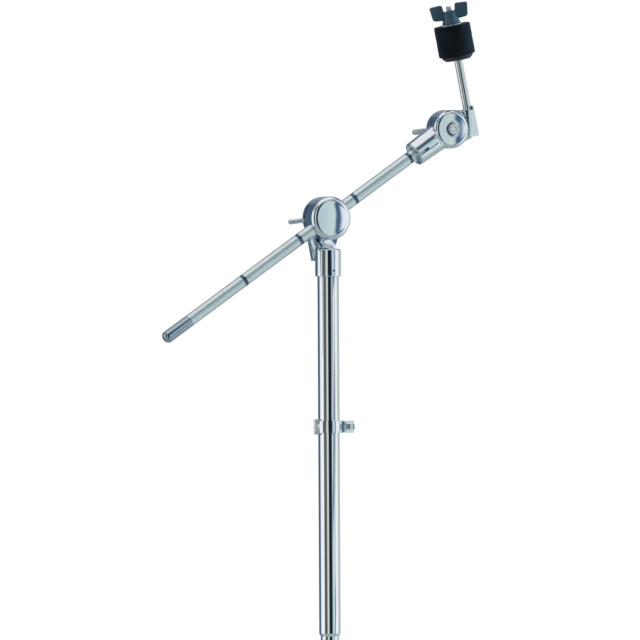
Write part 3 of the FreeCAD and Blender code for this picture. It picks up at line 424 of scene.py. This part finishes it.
tubeChrome = plating("tubeChrome", (.86, .89, .91), (.80, .84, .87), (.03, .07), 40.0, (0.06, 0.0004))
castChrome = plating("castChrome", (.85, .88, .91), (.77, .82, .86), (.04, .10), 110.0, (0.10, 0.0006))
rodChrome = plating("rodChrome", (.78, .86, .87), (.66, .74, .75), (.16, .26), 200.0, (0.05, 0.0003))
tipChrome = plating("tipChrome", (.42, .50, .57), (.36, .44, .51), (.03, .07), 60.0, (0.06, 0.0003))
# the bands' plating is painted dark navy: a painted dark reflection, which plain chrome bands would
# not show of themselves
bandPaintedReflection = plating("bandPaintedReflection", (.13, .19, .26), (.07, .11, .17), (.10, .18), 300.0, (0.05, 0.0003))
barSteel = plating("barSteel", (.80, .83, .85), (.66, .70, .73), (.08, .20), 300.0, (0.12, 0.0003))
slateCoat = coated("slateCoat", (.024, .060, .098), (.045, .100, .150), (.36, .54), 1400.0,
                   (0.25, 0.0002), 0.25)
seatMoulding = coated("seatMoulding", (.006, .010, .018), (.016, .024, .040), (.45, .62), 1800.0,
                      (0.2, 0.0002))
blackFelt = makeWool()
frictionFibre = coated("frictionFibre", (.10, .075, .055), (.17, .13, .10), (.7, .9), 2200.0,
                       (0.5, 0.0002))
sleeveNylon = coated("sleeveNylon", (.012, .013, .015), (.025, .027, .03), (.35, .5), 1200.0,
                     (0.15, 0.0002))
print("materials ready")


tubeSet = {"wall": 1.6 * mm, "swageTaper": 3.0 * mm, "topBreak": 0.8 * mm, "shoulder": 0.8 * mm,
           "endRound": 0.5 * mm, "endSlice": 0.1 * mm, "pinHole": 2.02 * mm}


def makeDownTube():
    low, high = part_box("down_tube")
    radius = halfSize("down_tube", 0)
    endRing = [vertex.co for vertex in nodes["down_tube"].data.vertices
               if vertex.co.z < low.z + tubeSet["endSlice"]]
    swage = max(point.xy.length for point in endRing)
    wall, taper = tubeSet["wall"], tubeSet["swageTaper"]
    outline = roundedOutline([
        (radius - wall, high.z), (radius - wall, 0), (swage - wall, -taper),
        (swage - wall, low.z), (swage, low.z, tubeSet["endRound"]),
        (swage, -taper, tubeSet["shoulder"]),
        (radius, 0, tubeSet["shoulder"]), (radius, high.z, tubeSet["topBreak"])])
    tube = intoObject(spunShape(outline, 128), "downTube")
    combine(tube, [drill(tubeSet["pinHole"], -2 * radius, 2 * radius,
                         frameAt(pinCentre(), back, right))], "DIFFERENCE")
    finishPiece(tube, "tube_base", ["down_tube"], tubeChrome)


def pinCentre():
    low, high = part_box("socket_pin")
    return (low + high) / 2


# these keep the CAD's own shape, welded and smoothed
castings = {
    "tilterBase": ("tilter_base", "tube_base"),
    "headSocket": ("head_socket", "cymbal_tilter_base"),
    "spindleHalf": ("spindle_half", "cymbal_tilter"),
    "lockNearJaw": ("lock_near_jaw", "memory_lock"),
    "lockFarJaw": ("lock_far_jaw", "memory_lock"),
}


def makeCastings():
    for name, (node, body) in castings.items():
        finishPiece(smoothedCopy(node, name), body, [node], castChrome)


makeDownTube()
makeCastings()
print("tube and castings made")


rotorSet = {"rimRound": 6.0 * mm, "crown": 1.5 * mm, "crownSteps": 10, "boreFit": 0.08 * mm,
            "rearBreak": 0.5 * mm}


def domeOutline(reach, rise, height, steps):
    # a shallow crown from the axis out to the face's rim
    radius = (reach ** 2 + rise ** 2) / (2 * rise)
    widest = math.asin(reach / radius)
    return [(radius * math.sin(widest * step / steps),
             height + radius * (1 - math.cos(widest * step / steps)))
            for step in range(steps + 1)]


def rimArc(centreR, centreZ, radius, steps=10):
    # a quarter round from facing forwards to facing outwards
    return [(centreR + radius * math.sin(math.pi / 2 * step / steps),
             centreZ - radius * math.cos(math.pi / 2 * step / steps))
            for step in range(1, steps + 1)]


def makeRotor():
    front, rear = spanAlong("clamp_rotor", tilterFrame)
    radius = reachFrom("clamp_rotor", tilterFrame)
    rod = reachFrom("boom_rod", boomFrame)
    face = radius - rotorSet["rimRound"]
    crown, rim = rotorSet["crown"], rotorSet["rimRound"]
    outline = domeOutline(face, crown, front, rotorSet["crownSteps"])
    outline += rimArc(face, front + crown + rim, rim)
    rearBreak = rotorSet["rearBreak"]
    outline += [(radius, rear - rearBreak), (radius - rearBreak, rear), (0, rear)]
    rotor = intoObject(spunShape(outline, 160, closed=False), "clampRotor", tilterFrame)
    bore = rod + rotorSet["boreFit"]
    combine(rotor, [drill(bore, -2 * radius, 2 * radius, boomFrame, 64)], "DIFFERENCE")
    rotor.data.shade_smooth()
    rotor.data.set_sharp_from_angle(angle=math.radians(finishAngle))
    finishPiece(rotor, "tilter_rotor", ["clamp_rotor"], castChrome)


makeRotor()
print("rotor made")


rodSet = {
    "around": 36,             # diamonds round the rod
    "relief": 0.09 * mm,      # how far the diamonds stand up
    "bandWidth": 4.0 * mm,
    "bandDepth": 0.16 * mm,
    "bandPitch": 76.6 * mm,
    "bandFirst": -117.4 * mm,
    "bandStep": 0.3 * mm,     # slope between the knurl and a band
    "bands": 4,
    "peak": 0.94,             # share of the relief that a diamond's middle rises
    "rowReach": 0.01 * mm,    # how near the valley's radius a face lies to belong to the knurl
    "diamondReach": 0.04 * mm,
    "outward": 0.9,           # share of a diamond's normal that points away from the axis
    "smoothAngle": 20,
    "wall": 2.2 * mm,
}


def bandPlaces():
    return [rodSet["bandFirst"] + number * rodSet["bandPitch"] for number in range(rodSet["bands"])]


def knurledOutline(low, high, radius):
    # plain bands with close rows between them, one row for each diamond
    pitch = fullTurn * radius / rodSet["around"]
    valley = radius - rodSet["relief"]
    half = rodSet["bandWidth"] / 2
    edges = [edge for band in bandPlaces() for edge in (band - half, band + half)]
    stops = [low] + edges + [high]
    outline = []
    for start, end in zip(stops[::2], stops[1::2]):
        rows = round((end - start) / pitch)
        outline += [(valley, start + (end - start) * row / rows) for row in range(rows + 1)]
        if end != high:
            smooth = radius - rodSet["bandDepth"]
            step = rodSet["bandStep"]
            outline += [(smooth, end + step), (smooth, end + 2 * half - step)]
    return outline, valley, pitch


def makeRod():
    low, high = spanAlong("boom_rod", boomFrame)
    radius = reachFrom("boom_rod", boomFrame)
    bore = radius - rodSet["wall"]
    outline, valley, pitch = knurledOutline(low, high, radius)
    shape = spunShape([(bore, low)] + outline + [(bore, high)], rodSet["around"])
    rows = [face for face in shape.faces
            if all(abs(vertex.co.xy.length - valley) < rodSet["rowReach"] for vertex in face.verts)]
    knurled = set(rows)
    grid = [edge for edge in shape.edges
            if len(edge.link_faces) == 2 and all(near in knurled for near in edge.link_faces)]
    # a centre point in each square, then the squares' own edges go: what stays are diamonds
    bmesh.ops.poke(shape, faces=rows, offset=0)
    bmesh.ops.dissolve_edges(shape, edges=grid, use_verts=False)
    diamonds = [face for face in shape.faces if len(face.verts) == 4
                and all(abs(vertex.co.xy.length - valley) < rodSet["diamondReach"]
                        for vertex in face.verts)
                and face.normal.xy.length > rodSet["outward"]]
    bmesh.ops.poke(shape, faces=diamonds, offset=rodSet["relief"] * rodSet["peak"])
    rod = intoObject(shape, "boomRod", boomFrame, rodSet["smoothAngle"])
    finishPiece(rod, "boom", ["boom_rod"], rodChrome)
    # faces within a band take the painted dark reflection
    rod.data.materials.append(bandPaintedReflection)
    alongRod = boomFrame.inverted()
    for face in rod.data.polygons:
        level = (alongRod @ face.center).z
        inBand = any(abs(level - band) < rodSet["bandWidth"] / 2 for band in bandPlaces())
        face.material_index = int(inBand)


tipSet = {"nose": 4.8 * mm, "seamBack": 0.4 * mm, "seamRound": 0.2 * mm, "seamStep": 0.35 * mm,
          "spigotRound": 0.5 * mm}


def makeRodTip():
    low, high = spanAlong("boom_end_cap", boomFrame)
    radius = reachFrom("boom_end_cap", boomFrame)
    seam = spanAlong("boom_rod", boomFrame)[0]
    spigot = radius - rodSet["wall"]
    outline = roundedOutline([
        (0, low), (radius, low, tipSet["nose"]),
        (radius, seam - tipSet["seamBack"], tipSet["seamRound"]),
        (radius - tipSet["seamStep"], seam), (spigot, seam),
        (spigot, high, tipSet["spigotRound"]), (0, high)], 10)
    tip = intoObject(spunShape(outline, 96, closed=False), "boomTip", boomFrame)
    finishPiece(tip, "boom", ["boom_end_cap"], tipChrome)


makeRod()
makeRodTip()
print("boom rod made")


spindleSet = {
    "footBreak": 0.4 * mm, "shoulderBreak": 0.6 * mm, "threadPitch": 1.0 * mm,
    "threadDepth": 0.45 * mm, "threadSteps": 24, "tipBreak": 0.6 * mm, "tipIn": 0.8 * mm,
    "threadFrom": 0.5 * mm, "threadTo": 1.4 * mm,   # from the shoulder and the tip
    "ridgeSunk": 0.1 * mm, "ridgeFoot": 0.08, "ridgeCrest": 0.44,   # shares of the pitch
}


def makeSpindle():
    low, high = spanAlong("cymbal_spindle", spindleFrame)
    radius = reachFrom("cymbal_spindle", spindleFrame)
    sunk, tip = spanAlong("spindle_thread", spindleFrame)
    crest = reachFrom("spindle_thread", spindleFrame)
    root = crest - spindleSet["threadDepth"]
    outline = roundedOutline([
        (0, low), (radius, low, spindleSet["footBreak"]),
        (radius, high, spindleSet["shoulderBreak"]),
        (crest, high), (crest, sunk), (0, sunk)])
    spindle = intoObject(spunShape(outline, 64, closed=False), "cymbalSpindle", spindleFrame)
    finishPiece(spindle, "cymbal_tilter", ["cymbal_spindle"], barSteel)
    outline = [(0, sunk), (root, sunk), (root, tip - spindleSet["tipBreak"]),
               (root - spindleSet["tipIn"], tip), (0, tip)]
    core = intoObject(spunShape(outline, 48, closed=False), "spindleThread", spindleFrame)
    finishPiece(core, "cymbal_tilter", ["spindle_thread"], barSteel)
    ridge = threadShape(crest, root, high + spindleSet["threadFrom"],
                        tip - spindleSet["threadTo"])
    coil = intoObject(ridge, "spindleThreadRidge", spindleFrame)
    finishPiece(coil, "cymbal_tilter", [], barSteel)


def threadShape(crest, root, start, end):
    # a ridge carried round and up by one pitch a turn
    pitch = spindleSet["threadPitch"]
    turns = int((end - start) / pitch)
    steps = spindleSet["threadSteps"]
    shape = bmesh.new()
    inner = root - spindleSet["ridgeSunk"]
    foot, top = spindleSet["ridgeFoot"], spindleSet["ridgeCrest"]
    ridge = [(inner, foot), (crest, top), (crest, 1 - top), (inner, 1 - foot)]
    corners = [shape.verts.new((radius, 0, start + share * pitch)) for radius, share in ridge]
    face = shape.faces.new(corners)
    made = bmesh.ops.spin(shape, geom=[face], cent=(0, 0, 0), axis=(0, 0, 1),
                          dvec=(0, 0, pitch / steps), angle=fullTurn * turns,
                          steps=steps * turns, use_merge=False, use_duplicate=False)
    bmesh.ops.recalc_face_normals(shape, faces=shape.faces)
    return shape


feltSet = {
    "edge": 1.2 * mm, "seamEdge": 0.35 * mm, "rows": 14, "fuzz": 0.10 * mm, "around": 120,
    "swell": 0.25 * mm, "swellShare": 0.6, "holeRim": 1 * mm, "longEdge": 4 * mm,
    "lowerSag": 0.26 * mm, "upperSag": 0.30 * mm, "smoothAngle": 60,
}


def makeFelt(name, node, body, sag, edges):
    # a punched felt disc, its wall slightly uneven and its rims worn round
    low, high = spanAlong(node, spindleFrame)
    radius = reachFrom(node, spindleFrame)
    hole = spanHole(node)
    rows = feltSet["rows"]
    outline = roundedOutline([
        (hole, low), (radius - sag, low, edges[0]), (radius - sag, high, edges[1]),
        (hole, high)], 4)
    shape = spunShape(outline, feltSet["around"])
    walls = [edge for edge in shape.edges if edge.calc_length() > feltSet["longEdge"]]
    bmesh.ops.subdivide_edges(shape, edges=walls, cuts=rows, use_grid_fill=True)
    draws = random.Random(len(name))
    for vertex in shape.verts:
        reach = vertex.co.xy.length
        if reach > hole + feltSet["holeRim"]:
            swell = math.sin((vertex.co.z - low) / (high - low) * math.pi) * feltSet["swell"]
            shift = draws.uniform(-1, 1) * feltSet["fuzz"] * 0.5
            shift += min(swell, sag * feltSet["swellShare"])
            vertex.co.xy *= (reach + shift) / reach
    piece = intoObject(shape, name, spindleFrame, feltSet["smoothAngle"])
    finishPiece(piece, body, [node], blackFelt)


def spanHole(node):
    inverse = spindleFrame.inverted()
    return min((inverse @ vertex.co).xy.length for vertex in nodes[node].data.vertices)


seatSet = {"footShare": 0.8, "footRound": 0.8 * mm, "band": 1.6 * mm, "bandRound": 0.5 * mm,
           "topRound": 0.4 * mm}
ringRound = 0.3 * mm


def makeSeatStack():
    low, high = spanAlong("seat_washer", spindleFrame)
    radius = reachFrom("seat_washer", spindleFrame)
    hole = spanHole("seat_washer")
    outline = roundedOutline([
        (hole, low), (seatSet["footShare"] * radius, low, seatSet["footRound"]),
        (radius, high - seatSet["band"], seatSet["bandRound"]),
        (radius, high, seatSet["topRound"]), (hole, high)])
    seat = intoObject(spunShape(outline, 96), "seatWasher", spindleFrame)
    finishPiece(seat, "cymbal_tilter", ["seat_washer"], seatMoulding)
    worn, seam = feltSet["edge"], feltSet["seamEdge"]
    makeFelt("lowerFelt", "lower_felt", "cymbal_tilter", feltSet["lowerSag"], (worn, seam))
    makeFelt("upperFelt", "upper_felt", "upper_seat", feltSet["upperSag"], (seam, 0.5 * worn))
    low, high = spanAlong("top_washer", spindleFrame)
    radius, hole = reachFrom("top_washer", spindleFrame), spanHole("top_washer")
    outline = roundedOutline([
        (hole, low), (radius, low, ringRound), (radius, high, ringRound), (hole, high)], 3)
    washer = intoObject(spunShape(outline, 96), "topWasher", spindleFrame)
    finishPiece(washer, "upper_seat", ["top_washer"], barSteel)


nutSet = {
    "hubWaist": 6.8 * mm, "hubFlare": 9.3 * mm, "hubHeight": 13.5 * mm,
    "flareHeight": 2.2 * mm, "waistIn": 0.9 * mm, "waistHeight": 5.2 * mm, "waistRound": 2.0 * mm,
    "footRound": 0.5 * mm, "flareRound": 0.7 * mm, "topRound": 0.9 * mm, "boreFit": 0.1 * mm,
    "wingInner": 4.6 * mm, "wingThickness": 4.5 * mm, "wingRound": 0.9 * mm,
    "wingHalf": 2.3 * mm,      # the wings' half thickness in the CAD
    "boreOver": 2 * mm,
    "turn": 25.0,              # degrees about the spindle
    "smoothAngle": 34,
}
# a wing, from the hub outwards and back: an anchor and mm across, then a level and mm up
wingPlan = [
    ("inner", 0.0, "low", 4.2), ("outer", -3.4, "low", 5.4), ("outer", -1.6, "low", 7.0),
    ("outer", -0.05, "high", -1.6), ("outer", -1.4, "high", -0.5), ("inner", 3.0, "high", 0.0),
    ("inner", 2.0, "high", -1.2), ("inner", 1.0, "hub", -1.0),
]


def makeWingNut():
    low, high = spanAlong("wing_nut", spindleFrame)
    reach = reachFrom("wing_nut", spindleFrame)
    flare, waist = nutSet["hubFlare"], nutSet["hubWaist"]
    top = low + nutSet["hubHeight"]
    bore = reachFrom("spindle_thread", spindleFrame) + nutSet["boreFit"]
    outline = roundedOutline([
        (bore, low), (flare, low, nutSet["footRound"]),
        (flare, low + nutSet["flareHeight"], nutSet["flareRound"]),
        (waist + nutSet["waistIn"], low + nutSet["waistHeight"], nutSet["waistRound"]),
        (waist, top, nutSet["topRound"]), (bore, top)])
    turnedFrame = spindleFrame @ Matrix.Rotation(math.radians(-nutSet["turn"]), 4, "Z")
    nut = intoObject(spunShape(outline, 72), "wingNut", turnedFrame)
    across = {"inner": nutSet["wingInner"],
              "outer": math.sqrt(reach ** 2 - nutSet["wingHalf"] ** 2)}
    height = {"low": low, "high": high, "hub": top}
    wings = []
    for side in (1, -1):
        points = [(side * (across[anchor] + x * mm), height[level] + z * mm)
                  for anchor, x, level, z in wingPlan]
        shape = extrudedShape(points, nutSet["wingThickness"], nutSet["wingRound"], 3)
        wings.append(intoObject(shape, "wing_tool", turnedFrame))
    combine(nut, wings, "UNION")
    through = drill(bore, low - nutSet["boreOver"], high + nutSet["boreOver"], turnedFrame)
    combine(nut, [through], "DIFFERENCE")
    nut.data.shade_smooth()
    nut.data.set_sharp_from_angle(angle=math.radians(nutSet["smoothAngle"]))
    finishPiece(nut, "wing_nut", ["wing_nut"], slateCoat)


makeSpindle()
makeSeatStack()
makeWingNut()
print("spindle and seat made")


boltSet = {"headDepth": 4.0 * mm, "shank": 4.0 * mm, "dimple": 2.4 * mm, "dimpleDepth": 1.2 * mm,
           "dimpleRim": 2.9 * mm, "rimDepth": 0.1 * mm, "rimOut": 3.3 * mm, "headRound": 1.1 * mm,
           "seatRound": 0.3 * mm, "endRound": 0.5 * mm}


def makeHeadBolt():
    low, high = spanAlong("head_bolt", headFrame)
    radius = reachFrom("head_bolt", headFrame)
    seat, shank = low + boltSet["headDepth"], boltSet["shank"]
    floor = low + boltSet["dimpleDepth"]
    outline = roundedOutline([
        (0, floor), (boltSet["dimple"], floor), (boltSet["dimpleRim"], low + boltSet["rimDepth"]),
        (boltSet["rimOut"], low), (radius, low, boltSet["headRound"]),
        (radius, seat, boltSet["seatRound"]), (shank, seat), (shank, high, boltSet["endRound"]),
        (0, high)])
    bolt = intoObject(spunShape(outline, 72, closed=False), "headBolt", headFrame)
    finishPiece(bolt, "cymbal_tilter", ["head_bolt"], barSteel)


def lengthwise(node, centre):
    # the direction of a bar that lies nearly along X, from the middles of its two halves
    points = [vertex.co for vertex in nodes[node].data.vertices]
    ends = [[point for point in points if (point.x - centre.x) * side > 0] for side in (-1, 1)]
    near, far = (sum(half, Vector()) / len(half) for half in ends)
    return (far - near).normalized()


handleSet = {
    "bore": 4.1 * mm, "floorWall": 0.6 * mm, "mouthRound": 0.7 * mm, "mouth": 3.2 * mm,
    "mouthBack": 0.6 * mm, "waistIn": 1.1 * mm, "waist": 4.4 * mm, "waistRound": 0.8 * mm,
    "waistEnd": 6.0 * mm, "backRound": 1.4 * mm, "barFit": 0.02 * mm, "barRound": 1.8 * mm,
}


def makeHandle(prefix, place, body):
    # the hub is waisted behind its mouth, and the bar has domed ends
    hub, bar = prefix + "_handle_hub", prefix + "_handle_bar"
    low, high = spanAlong(hub, place)
    radius = reachFrom(hub, place)
    bore, waistRound = handleSet["bore"], handleSet["waistRound"]
    barLow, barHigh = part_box(bar)
    centre = (barLow + barHigh) / 2
    barFrame = frameAt(centre, lengthwise(bar, centre), back)
    start, end = spanAlong(bar, barFrame)
    thick = reachFrom(bar, barFrame)
    floor = (centre - place.translation).y - thick - handleSet["floorWall"]
    outline = roundedOutline([
        (0, floor), (bore, floor), (bore, low), (radius, low, handleSet["mouthRound"]),
        (radius, low + handleSet["mouth"], handleSet["mouthBack"]),
        (radius - handleSet["waistIn"], low + handleSet["waist"], waistRound),
        (radius, low + handleSet["waistEnd"], waistRound),
        (radius, high, handleSet["backRound"]), (0, high)])
    knob = intoObject(spunShape(outline, 72, closed=False), prefix + "HandleHub", place)
    combine(knob, [drill(thick + handleSet["barFit"], start, end, barFrame)], "DIFFERENCE")
    knob.data.shade_smooth()
    knob.data.set_sharp_from_angle(angle=math.radians(finishAngle))
    finishPiece(knob, body, [hub], barSteel)
    outline = roundedOutline([(0, start), (thick, start, handleSet["barRound"]),
                              (thick, end, handleSet["barRound"]), (0, end)], 6)
    rail = intoObject(spunShape(outline, 48, closed=False), prefix + "HandleBar", barFrame)
    finishPiece(rail, body, [bar], barSteel)


def makeRings():
    rings = {
        "tilterWasher": ("tilter_washer", tilterFrame, "tube_base"),
        "headWasher": ("head_washer", headFrame, "cymbal_tilter_base"),
    }
    for name, (node, place, body) in rings.items():
        low, high = spanAlong(node, place)
        inverse = place.inverted()
        reach = [(inverse @ vertex.co).xy.length for vertex in nodes[node].data.vertices]
        outline = roundedOutline([
            (min(reach), low), (max(reach), low, ringRound), (max(reach), high, ringRound),
            (min(reach), high)], 3)
        ring = intoObject(spunShape(outline, 72), name, place)
        finishPiece(ring, body, [node], barSteel)


lockSet = {"stem": 2.5 * mm, "headLength": 4.5 * mm, "overlap": 0.5 * mm, "stemRound": 0.5 * mm,
           "headRound": 0.35 * mm, "nutRound": 0.4 * mm, "nutFit": 0.05 * mm}


def makeLockHardware():
    # the key bolt has a square head and the nut is a rounded block
    low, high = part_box("lock_key_bolt")
    centre = (low + high) / 2
    stem, headLength = lockSet["stem"], lockSet["headLength"]
    square, length = halfSize("lock_key_bolt", 0) * 2, high.y - low.y
    place = frameAt(Vector((centre.x, low.y, centre.z)), back, right)
    start = headLength - lockSet["overlap"]
    outline = roundedOutline([(0, start), (stem, start), (stem, length, lockSet["stemRound"]),
                              (0, length)])
    bolt = intoObject(spunShape(outline, 40, closed=False), "lockKeyBolt", place)
    head = roundedBlock((square, square, headLength), lockSet["headRound"])
    bmesh.ops.translate(head, verts=head.verts, vec=(0, 0, headLength / 2))
    combine(bolt, [intoObject(head, "head_tool", place)], "UNION")
    finishPiece(bolt, "memory_lock", ["lock_key_bolt"], barSteel)
    low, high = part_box("lock_nut")
    size = high - low
    place = frameAt((low + high) / 2, back, right)
    block = roundedBlock((size.x, size.z, size.y), lockSet["nutRound"])
    nut = intoObject(block, "lockNut", place)
    combine(nut, [drill(stem + lockSet["nutFit"], -size.y, size.y, place)], "DIFFERENCE")
    finishPiece(nut, "memory_lock", ["lock_nut"], barSteel)


makeHeadBolt()
makeHandle("tilter", tilterFrame, "tilter_handle")
makeHandle("head", headFrame, "cymbal_handle")
makeRings()
makeLockHardware()
print("handles and fasteners made")

# hidden and very small CAD nodes keep their shape and take a better finish
keptNodes = {
    "socket_pin": barSteel, "eye_bolt": barSteel, "friction_washer": frictionFibre,
    "head_friction_washer": frictionFibre, "head_key_screw": barSteel,
    "spindle_sleeve": sleeveNylon, "lock_hinge_pin": barSteel,
}
for node, material in keptNodes.items():
    nodes[node].data.materials.clear()
    nodes[node].data.materials.append(material)


# brightness round the studio, by degrees to the right of the camera as the object sees it
surround = [
    (-180, (.34, .40, .44)), (-152, (.20, .26, .33)), (-144, (.06, .11, .18)),
    (-108, (.08, .14, .21)), (-104, (.74, .84, .90)), (-97, (1.0, 1.0, .99)),
    (-58, (1.0, 1.0, .99)), (-54, (.13, .14, .14)), (-26, (.10, .11, .11)),
    (-22, (.66, .70, .60)), (-6, (.72, .77, .68)), (-2, (.01, .02, .04)),
    (14, (.006, .012, .03)), (30, (.02, .05, .10)), (34, (.50, .64, .72)),
    (46, (.60, .72, .70)), (56, (.66, .78, .74)), (59, (.06, .12, .22)), (64, (.08, .16, .28)),
    (67, (.86, .93, .97)), (74, (1.0, 1.0, .99)), (100, (1.0, 1.0, .99)),
    (107, (.58, .66, .62)), (180, (.34, .40, .44)),
]
# by degrees above level: how far the surround is shaded, up to 1, and past 1 how white it turns
ceiling = [
    (0, 0.0), (22, 0.0), (34, 0.55), (48, 0.55), (60, 1.9), (90, 1.9),
]


ground = {"from": -15, "to": -45, "tone": (.36, .43, .45, 1)}   # degrees from level
shade = (.12, .17, .22, 1)


def makeSurround():
    world = bpy.data.worlds.new("studio")
    bpy.context.scene.world = world
    world.use_nodes = True
    tree = world.node_tree
    tree.nodes.clear()
    place = tree.nodes.new("ShaderNodeTexCoord")
    turn = math.radians(cameraSet["azimuth"])
    split = addNode(tree, "ShaderNodeSeparateXYZ")
    spun = addNode(tree, "ShaderNodeVectorRotate", [(place.outputs["Generated"], "Vector")],
                   rotation_type="Z_AXIS", Angle=-turn)
    tree.links.new(spun.outputs[0], split.inputs[0])
    flipped = addNode(tree, "ShaderNodeMath", [(split.outputs["Y"], 0)], operation="MULTIPLY")
    flipped.inputs[1].default_value = -1
    bearing = addNode(tree, "ShaderNodeMath", [
        (split.outputs["X"], 0), (flipped.outputs[0], 1)], operation="ARCTAN2")
    share = addNode(tree, "ShaderNodeMapRange", [(bearing.outputs[0], "Value")])
    share.inputs["From Min"].default_value = -math.pi
    share.inputs["From Max"].default_value = math.pi
    ramp = addNode(tree, "ShaderNodeValToRGB", [(share.outputs["Result"], "Fac")])
    fillRamp(ramp, [((degrees + 180) / 360, colour) for degrees, colour in surround])
    height = addNode(tree, "ShaderNodeMath", [(split.outputs["Z"], 0)], operation="ARCSINE")
    lift = addNode(tree, "ShaderNodeMapRange", [(height.outputs[0], "Value")])
    lift.inputs["From Min"].default_value = 0
    lift.inputs["From Max"].default_value = math.pi / 2
    dark = addNode(tree, "ShaderNodeValToRGB", [(lift.outputs["Result"], "Fac")])
    fillRamp(dark, [(degrees / 90, (min(level, 1),) * 3) for degrees, level in ceiling])
    bright = addNode(tree, "ShaderNodeValToRGB", [(lift.outputs["Result"], "Fac")])
    fillRamp(bright, [(degrees / 90, (max(level - 1, 0),) * 3) for degrees, level in ceiling])
    shaded = mixColours(tree, dark.outputs["Color"], ramp.outputs["Color"], shade)
    lit = mixColours(tree, bright.outputs["Color"], shaded, (1, 1, 1, 1))
    drop = addNode(tree, "ShaderNodeMapRange", [(height.outputs[0], "Value")])
    drop.inputs["From Min"].default_value = math.radians(ground["from"])
    drop.inputs["From Max"].default_value = math.radians(ground["to"])
    whole = mixColours(tree, drop.outputs["Result"], lit, ground["tone"])
    glow = addNode(tree, "ShaderNodeBackground", [(whole, "Color")], Strength=1.0)
    plain = addNode(tree, "ShaderNodeBackground", Color=(1, 1, 1, 1), Strength=1.02)
    path = tree.nodes.new("ShaderNodeLightPath")
    choose = addNode(tree, "ShaderNodeMixShader", [
        (path.outputs["Is Camera Ray"], 0), (glow.outputs[0], 1), (plain.outputs[0], 2)])
    out = tree.nodes.new("ShaderNodeOutputWorld")
    tree.links.new(choose.outputs[0], out.inputs["Surface"])


def fillRamp(ramp, stops):
    elements = ramp.color_ramp.elements
    while len(elements) > 1:
        elements.remove(elements[-1])
    elements[0].position = stops[0][0]
    elements[0].color = (*stops[0][1], 1)
    for position, colour in stops[1:]:
        elements.new(position).color = (*colour, 1)


def mixColours(tree, factor, first, second):
    mix = addNode(tree, "ShaderNodeMix", data_type="RGBA")
    tree.links.new(factor, mix.inputs["Factor"])
    tree.links.new(first, mix.inputs[6])
    mix.inputs[7].default_value = second
    return mix.outputs[2]


def addSoftLight(name, place, aim, size, power):
    data = bpy.data.lights.new(name, "AREA")
    data.size = size
    data.energy = power
    light = bpy.data.objects.new(name, data)
    bpy.context.scene.collection.objects.link(light)
    facing = (Vector(place) - Vector(aim)).to_track_quat("Z", "Y").to_matrix().to_4x4()
    light.matrix_world = Matrix.Translation(place) @ facing
    light.visible_glossy = False


floorSet = {"radius": 0.3, "below": 60 * mm, "glow": 0.55}


def makeFloor():
    shape = bmesh.new()
    bmesh.ops.create_circle(shape, cap_ends=True, segments=96, radius=floorSet["radius"])
    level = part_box("down_tube")[0].z
    floor = intoObject(shape, "floor", Matrix.Translation((0, 0, level - floorSet["below"])))
    paper = coated("floorPaper", (.90, .91, .92), (.93, .94, .95), (.8, .9), 40.0, (0.02, 0.0005))
    tree = paper.node_tree
    surface = tree.nodes["Principled BSDF"]
    surface.inputs["Emission Color"].default_value = (1, 1, 1, 1)
    surface.inputs["Emission Strength"].default_value = floorSet["glow"]
    # the plating mirrors the surround alone, without an edge where the floor ends
    path = tree.nodes.new("ShaderNodeLightPath")
    shown = addNode(tree, "ShaderNodeMath", operation="SUBTRACT")
    shown.inputs[0].default_value = 1
    tree.links.new(path.outputs["Is Glossy Ray"], shown.inputs[1])
    tree.links.new(shown.outputs[0], surface.inputs["Alpha"])
    floor.data.materials.append(paper)


# place, aim, size in metres, power in watts
softLights = {
    "keyLight": ((-1.4, -1.6, 2.0), (0, 0, 0.4), 1.2, 30),
    "rimLight": ((1.7, -0.3, 0.9), (0.15, 0, 0.6), 0.7, 55),
    "backLight": ((0.6, 2.0, 1.4), (0, 0, 0.4), 1.2, 18),
}

makeSurround()
makeFloor()
for name, (place, aim, size, power) in softLights.items():
    addSoftLight(name, place, aim, size, power)
bpy.context.scene.view_settings.view_transform = "Standard"
print("studio ready")
